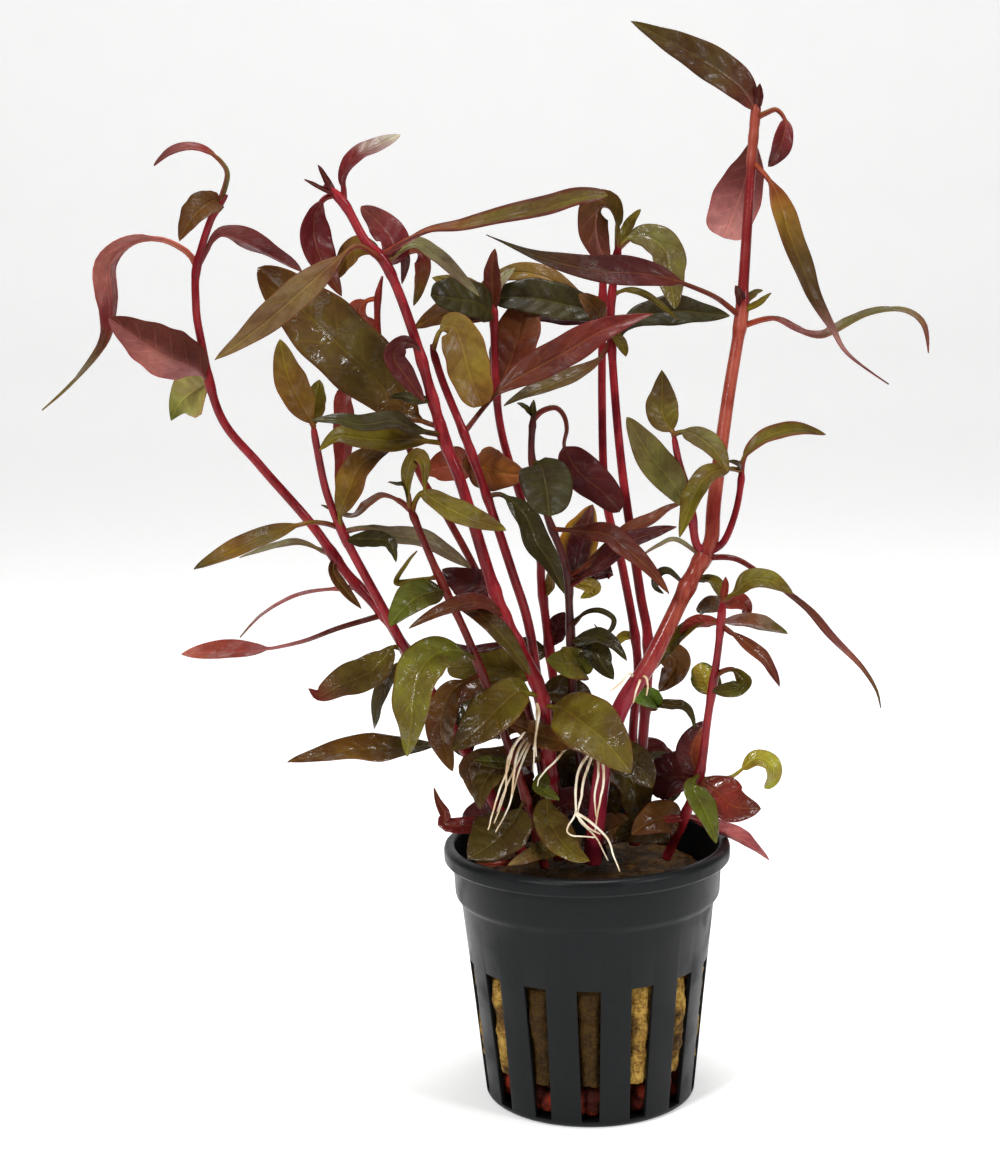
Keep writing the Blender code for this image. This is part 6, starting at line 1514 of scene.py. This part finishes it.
def colour_leaf(leaf, piece):
    """Stores the tones of both faces of a leaf on its points."""
    name, stem_name, width, reach, facing, finish, places = leaf
    kept = np.empty(len(piece.data.vertices) * 3, dtype=np.float32)
    piece.data.attributes["blade_place"].data.foreach_get("vector", kept)
    share, across = kept.reshape(-1, 3).T[:2]
    seen = tone_along(CHANGING.get(name, (finish,)), share)
    if name in MARGINS:
        outer = np.clip((np.abs(across) - MARGIN_STARTS) / MARGIN_FADE, 0.0, 1.0)[:, None]
        seen = tinted(seen, TONES[MARGINS[name]][0], outer)
    if name in HALVES:
        half = np.clip(across / HALF_FADE + 0.5, 0.0, 1.0)[:, None]
        seen = tinted(seen, TONES[HALVES[name]][0], half)
    blush = np.clip(1.0 - share / BLUSH_REACH, 0.0, 1.0)[:, None] * STALK_BLUSH
    seen = tinted(seen, TONES["red"][0], blush)
    upper, under = seen, seen
    if max(facing) <= 90:
        under = tinted(seen, ROSE_UNDERSIDE, ROSE_SHARE)
    elif min(facing) >= 90:
        upper = tinted(seen, BRONZE_UPPERSIDE, BRONZE_SHARE)
    store(piece, "upper_tone", upper)
    store(piece, "under_tone", under)


for leaf in ALL_LEAVES:
    colour_leaf(leaf, blades[leaf[0]])
print("tones of both faces stored on", len(blades), "leaves")

# %% [markdown]
# The skin of a leaf has four scales of detail. The midrib and the side veins are pale lines that follow
# the blade, so they read the measures stored on it. Between the veins a fine net of veinlets makes a
# cell pattern. Broad mottling shifts the tone from greener to redder. Last comes wetness: the leaves
# are still wet, the lowest ones most of all, so their wet patches are smooth and sharp, and the rest is
# satin.

# %% Veins that follow the blade
VEIN_WAVER = 0.03
SIDE_VEINS_SEEN = 0.55
NET_GRAIN = 0.95
NET_SEEN = 0.10


def leaf_veins(tree, where, share, beside, aside):
    """The pattern of the veins as four values: all that is pale, the midrib, the net, and how far from
    a side vein a place lies."""
    midrib = between(tree, aside, 0.30, 0.10)
    sweep = maths(tree, "MULTIPLY_ADD", beside, -VEIN_SWEEP, share)
    sweep = maths(tree, "MULTIPLY_ADD", noise(tree, where, 4.0, 1.0), VEIN_WAVER, sweep)
    turn = maths(tree, "FRACT", maths(tree, "MULTIPLY", sweep, VEINS))
    off_vein = maths(tree, "MULTIPLY", maths(tree, "PINGPONG", turn, 0.5), 2.0)
    side_vein = between(tree, off_vein, 0.16, 0.03)
    side_vein = maths(tree, "MULTIPLY", side_vein, between(tree, beside, 0.98, 0.40))
    net = between(tree, cells(tree, where, NET_GRAIN, "DISTANCE_TO_EDGE"), 0.10, 0.02)
    veins = midrib
    for finer, seen in ((side_vein, SIDE_VEINS_SEEN), (net, NET_SEEN)):
        veins = maths(tree, "MAXIMUM", veins, maths(tree, "MULTIPLY", finer, seen))
    return veins, midrib, net, off_vein


print(VEINS, "pairs of side veins on a leaf")

# %% Skin of the leaves, for the upper face and for the underside
DRY_SHINE = 0.10
WET_SHINE = 0.50
MOTTLE_GRAIN = 7.0
SPECK_GRAIN = 1.1
WET_GRAIN = 4.0
RIPPLE_GRAIN = 0.75
RELIEF = 0.11
EDGE_BLUSH = (1.3, 0.5, 0.6)


def times(tree, colour, factors):
    """A colour with each of its three parts multiplied."""
    return mixed(tree, 1.0, colour, factors, "MULTIPLY")


def leaf_skin(name, tone_name, vein_lift, vein_tint, mottle_low, mottle_high, wetness):
    """A leaf's skin: its stored tone with veins, a net of veinlets, mottling and wet patches."""
    skin, tree, shader = new_material(name, shine=0.5 * (DRY_SHINE + WET_SHINE))
    where = place_on(tree)
    share, across, across_mm = axes(tree, attribute(tree, "blade_place"))
    beside = maths(tree, "ABSOLUTE", across)
    aside = maths(tree, "ABSOLUTE", across_mm)
    veins, midrib, net, off_vein = leaf_veins(tree, where, share, beside, aside)
    tone = attribute(tree, tone_name, "Color")
    patches = noise(tree, where, MOTTLE_GRAIN, 3.0, 0.5)
    fine = noise(tree, where, SPECK_GRAIN, 3.0, 0.6)
    colour = mixed(tree, between(tree, patches, 0.34, 0.66), times(tree, tone, mottle_low),
                   times(tree, tone, mottle_high))
    shaded = tree.nodes.new("ShaderNodeVectorMath")
    shaded.operation = "SCALE"
    plug(tree, colour, shaded.inputs[0])
    plug(tree, between(tree, fine, 0.25, 0.75, 0.86, 1.12), shaded.inputs["Scale"])
    colour = shaded.outputs[0]
    lifted = mixed(tree, 1.0, times(tree, colour, vein_lift), vein_tint, "ADD")
    colour = mixed(tree, veins, colour, lifted)
    rim = between(tree, beside, 0.88, 1.0, 0.0, 0.5)
    plug(tree, mixed(tree, rim, colour, times(tree, colour, EDGE_BLUSH)), shader.inputs["Base Color"])
    damp = attribute(tree, "blade_damp", "Fac")
    wet = maths(tree, "MULTIPLY", between(tree, noise(tree, where, WET_GRAIN, 3.0, 0.6), 0.49, 0.58), damp)
    rough = maths(tree, "MULTIPLY_ADD", wet, -wetness, 0.46)
    plug(tree, maths(tree, "MULTIPLY_ADD", fine, 0.06, rough), shader.inputs["Roughness"])
    ripples = maths(tree, "MULTIPLY", noise(tree, where, RIPPLE_GRAIN, 2.0, 0.6), wet)
    relief = maths(tree, "MULTIPLY", midrib, -0.8)
    for form, most in ((off_vein, 0.42), (net, -0.12), (fine, 0.45), (ripples, 1.1)):
        relief = maths(tree, "MULTIPLY_ADD", form, most, relief)
    bumped(tree, shader, relief, RELIEF, 0.9)
    shine = maths(tree, "MULTIPLY_ADD", wet, WET_SHINE - DRY_SHINE, DRY_SHINE)
    plug(tree, shine, shader.inputs["Specular IOR Level"])
    return skin


upper_skin = leaf_skin("leaf_upper_skin", "upper_tone", (1.25, 1.32, 1.15), (0.016, 0.011, 0.002),
                       (0.80, 0.66, 0.66), (1.16, 1.24, 1.05), 0.36)
under_skin = leaf_skin("leaf_under_skin", "under_tone", (1.25, 1.10, 1.05), (0.050, 0.022, 0.020),
                       (0.84, 0.70, 0.72), (1.14, 1.18, 1.10), 0.30)
for leaf in ALL_LEAVES:
    piece = blades[leaf[0]]
    solid = "leaf_" + leaf[0]
    finish_piece(piece, None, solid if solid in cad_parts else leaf[1])
    piece.data.materials[0] = upper_skin
    piece.data.materials[1] = under_skin
print("two skins on", len(ALL_LEAVES), "leaves")

# %% [markdown]
# White roots break out of the lowest nodes and hang into the pot in loose bundles. Each root is a curve
# about half a millimetre thick that thins to its tip. The solids carry only the main strands, so each
# bundle here runs along those and has more strands beside them.

# %% The roots
ROOTS = [
    ("left_roots", [
        [(-9.2, 71, 7.5), (-13, 68.2, 12), (-14.8, 62.8, 14.5), (-16.6, 58.2, 17), (-18.6, 51.5, 19)],
        [(-9.2, 71, 7.5), (-11, 68, 11), (-13, 64, 13), (-15.3, 59, 13.5), (-16.8, 55, 13)],
    ]),
    ("middle_roots", [
        [(-8.9, 75.6, 9.0), (-9.0, 71.7, 12), (-9.5, 67.6, 13), (-9.8, 62.8, 13)],
    ]),
    ("right_roots", [
        [(2.2, 67.5, 13), (0, 62, 17), (-0.8, 58, 18), (-1.5, 53.5, 18), (1.5, 50, 19), (4, 45, 20)],
        [(2.2, 67.5, 13), (3.4, 63, 17), (3.2, 59.5, 18), (2.3, 55.1, 18), (1.6, 50.7, 18)],
    ]),
]
MORE_ROOTS = {
    "left_roots": [
        [(-9.2, 71, 7.5), (-12, 69.5, 12), (-14.6, 65, 14), (-15.2, 59, 15.5), (-17.4, 52.8, 17)],
        [(-9.2, 71, 7.5), (-10.5, 67.8, 11), (-12.4, 63.2, 13.5), (-14.0, 57.6, 14)],
        [(-9.2, 71, 7.5), (-12.6, 66.8, 12.5), (-13.6, 61.0, 14.5), (-14.4, 56.4, 14.8), (-17.2, 51.0, 16)],
    ],
    "middle_roots": [
        [(-2.6, 69.5, 6.0), (-4.9, 65.4, 12), (-7.3, 63, 13), (-8.7, 61.3, 13), (-9.1, 59.8, 13)],
        [(-8.9, 75.6, 9.0), (-8.6, 73.4, 12), (-9.3, 69.0, 13), (-9.2, 65.5, 13)],
        [(-4.2, 66.4, 11), (-2.4, 68.0, 10), (-1.0, 68.6, 9)],
    ],
    "right_roots": [
        [(2.2, 67.5, 13), (-0.9, 63.6, 16.5), (-1.9, 59.0, 18), (-2.0, 54.5, 18.5), (-3.6, 51.5, 19.5),
         (-3.0, 50.2, 20), (1.5, 49.6, 20.5)],
        [(2.2, 67.5, 13), (2.4, 62.0, 16.8), (1.6, 57.5, 17.8), (1.9, 53.5, 18)],
        [(-2.0, 54.5, 18.5), (0.4, 52.9, 19.5), (3.8, 49.5, 21), (5.2, 45.6, 23), (6.2, 42.8, 24.2)],
        [(-2.0, 54.5, 18.5), (-0.2, 52.0, 19.3), (2.6, 50.2, 20)],
        [(9.4, 79.5, 12.5), (8.6, 81.1, 15.4), (6.7, 79.2, 16.6), (4.8, 77.7, 17)],
        [(10.6, 80.0, 13.0), (11.4, 80.4, 15.3), (11.9, 78.6, 15.8), (11.6, 76.8, 16)],
        [(10.0, 79.5, 13.0), (10.4, 79.5, 15.6), (9.6, 77.6, 16.2), (9.1, 75.4, 16.4)],
    ],
}
ROOT_WIDTH = 0.62
ROOT_THINNING = 0.6
ROOT_STEP = 1.3
ROOT_SWAY = 0.05


def root_bundle(name, strands):
    """All the strands of one bundle, joined in one piece."""
    made = []
    for k, strand in enumerate(strands):
        spots = [place(*spot) for spot in strand]
        steps = max(8, round(length_of(spots) / MM / ROOT_STEP))
        fine_steps = 3 * steps
        draw = random.Random(f"{name} {k}")
        swayed = []
        for n in range(steps + 1):
            sway = Vector((draw.uniform(-1, 1), draw.uniform(-1, 1), draw.uniform(-1, 1))) * ROOT_SWAY * MM
            swayed.append(curve_point(spots, n / steps) + (sway if 0 < n < steps else Vector()))
        line = [curve_point(swayed, n / fine_steps) for n in range(fine_steps + 1)]
        radii = [ROOT_WIDTH / 2 * (1.0 - ROOT_THINNING * n / fine_steps) for n in range(fine_steps + 1)]
        made.append(rod(f"{name}_{k}", line, radii, 2))
    joined(made)
    return new_piece(name + "_fine")


ivory, tree, shader = new_material("ivory_root")
where = place_on(tree)
age = noise(tree, where, 4.0, 2.0)
plug(tree, mixed(tree, between(tree, age, 0.35, 0.65), (0.86, 0.78, 0.62), (0.62, 0.44, 0.25)),
     shader.inputs["Base Color"])
plug(tree, between(tree, age, 0.3, 0.7, 0.25, 0.5), shader.inputs["Roughness"])
bumped(tree, shader, noise(tree, where, 0.3), 0.05)
for name, strands in ROOTS:
    bundle = root_bundle(name, strands + MORE_ROOTS[name])
    finish_piece(bundle, ivory, name)
    print(bundle.name, "of", len(strands) + len(MORE_ROOTS[name]), "strands")

# %% [markdown]
# The plant stands on a pale floor that curves up behind it, as in a small photo studio, so no horizon
# shows. Three broad lamps and a bright surround give soft light from above and from both sides, which is
# what draws the grey sheen down the two sides of the pot.

# %% The floor that curves up
# How far each strip of it goes back and up, in metres
FLOOR_STRIPS = ((0.15, 0.01), (0.13, 0.06), (0.09, 0.12), (0.03, 0.2), (0.0, 1.2))
select_none()
bpy.ops.mesh.primitive_plane_add(size=2.4, location=(0, -0.2, 0))
floor = new_piece("studio_floor")
pick(floor, lambda co: co.y > 0.9)
for run, rise in FLOOR_STRIPS:
    bpy.ops.mesh.extrude_region_move(TRANSFORM_OT_translate={"value": (0, run, rise)})
bpy.ops.object.mode_set(mode="OBJECT")
smoothed(floor)
paper, tree, shader = new_material("pale_paper", roughness=0.9, shine=0.15)
fleck = noise(tree, place_on(tree), 30.0, 2.0)
plug(tree, mixed(tree, fleck, (0.84, 0.84, 0.835), (0.88, 0.88, 0.875)), shader.inputs["Base Color"])
shader.inputs["Emission Color"].default_value = (1.0, 1.0, 1.0, 1.0)
shader.inputs["Emission Strength"].default_value = 0.34
floor.data.materials.append(paper)
print("floor of", triangle_count(floor), "triangles")

# %% The light
world = bpy.data.worlds.new("bright_surround")
bpy.context.scene.world = world
world.use_nodes = True
surround = world.node_tree.nodes["Background"]
surround.inputs["Color"].default_value = (1.0, 1.0, 1.0, 1.0)
surround.inputs["Strength"].default_value = 0.27


def lamp(name, where, size, power):
    """A broad square lamp that looks at the middle of the plant, its place and size in metres."""
    select_none()
    bpy.ops.object.light_add(type="AREA", location=where)
    light = bpy.context.active_object
    light.name = name
    light.data.size = size
    light.data.energy = power
    light.rotation_euler = (Vector((0, 0, 0.1)) - Vector(where)).to_track_quat("-Z", "Y").to_euler()


lamp("top_lamp", (0.05, -0.05, 0.80), 0.28, 4.6)
lamp("left_lamp", (-0.45, -0.60, 0.65), 0.15, 4.4)
lamp("right_lamp", (0.60, -0.45, 0.45), 0.15, 2.6)
print("three lamps and a bright surround")

# %% The camera
select_none()
EYE_TARGET = Vector((-0.01536, 0.0, 0.0985))
EYE_PLACE = Vector((-0.01536, -0.39493, 0.16197))
EYE_ROLL = math.radians(-1.2)
LENS = 66.48
bpy.ops.object.camera_add(location=EYE_PLACE)
camera = bpy.context.active_object
camera.rotation_euler = (EYE_TARGET - EYE_PLACE).to_track_quat("-Z", "Y").to_euler()
camera.rotation_euler.rotate_axis("Z", EYE_ROLL)
camera.data.lens = LENS
camera.data.sensor_width = 36.0
camera.data.clip_start = 0.01
camera.data.clip_end = 20.0
bpy.context.scene.camera = camera
bpy.context.scene.view_settings.view_transform = "Standard"
print("camera", round((EYE_TARGET - EYE_PLACE).length / MM), "mm from the plant")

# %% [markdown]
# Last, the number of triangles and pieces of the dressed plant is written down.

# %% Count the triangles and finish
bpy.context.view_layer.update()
shown = [item for item in bpy.context.scene.objects if item.type == "MESH" and not item.hide_render]
print("whole object", sum(triangle_count(item) for item in shown), "triangles in", len(shown), "pieces")
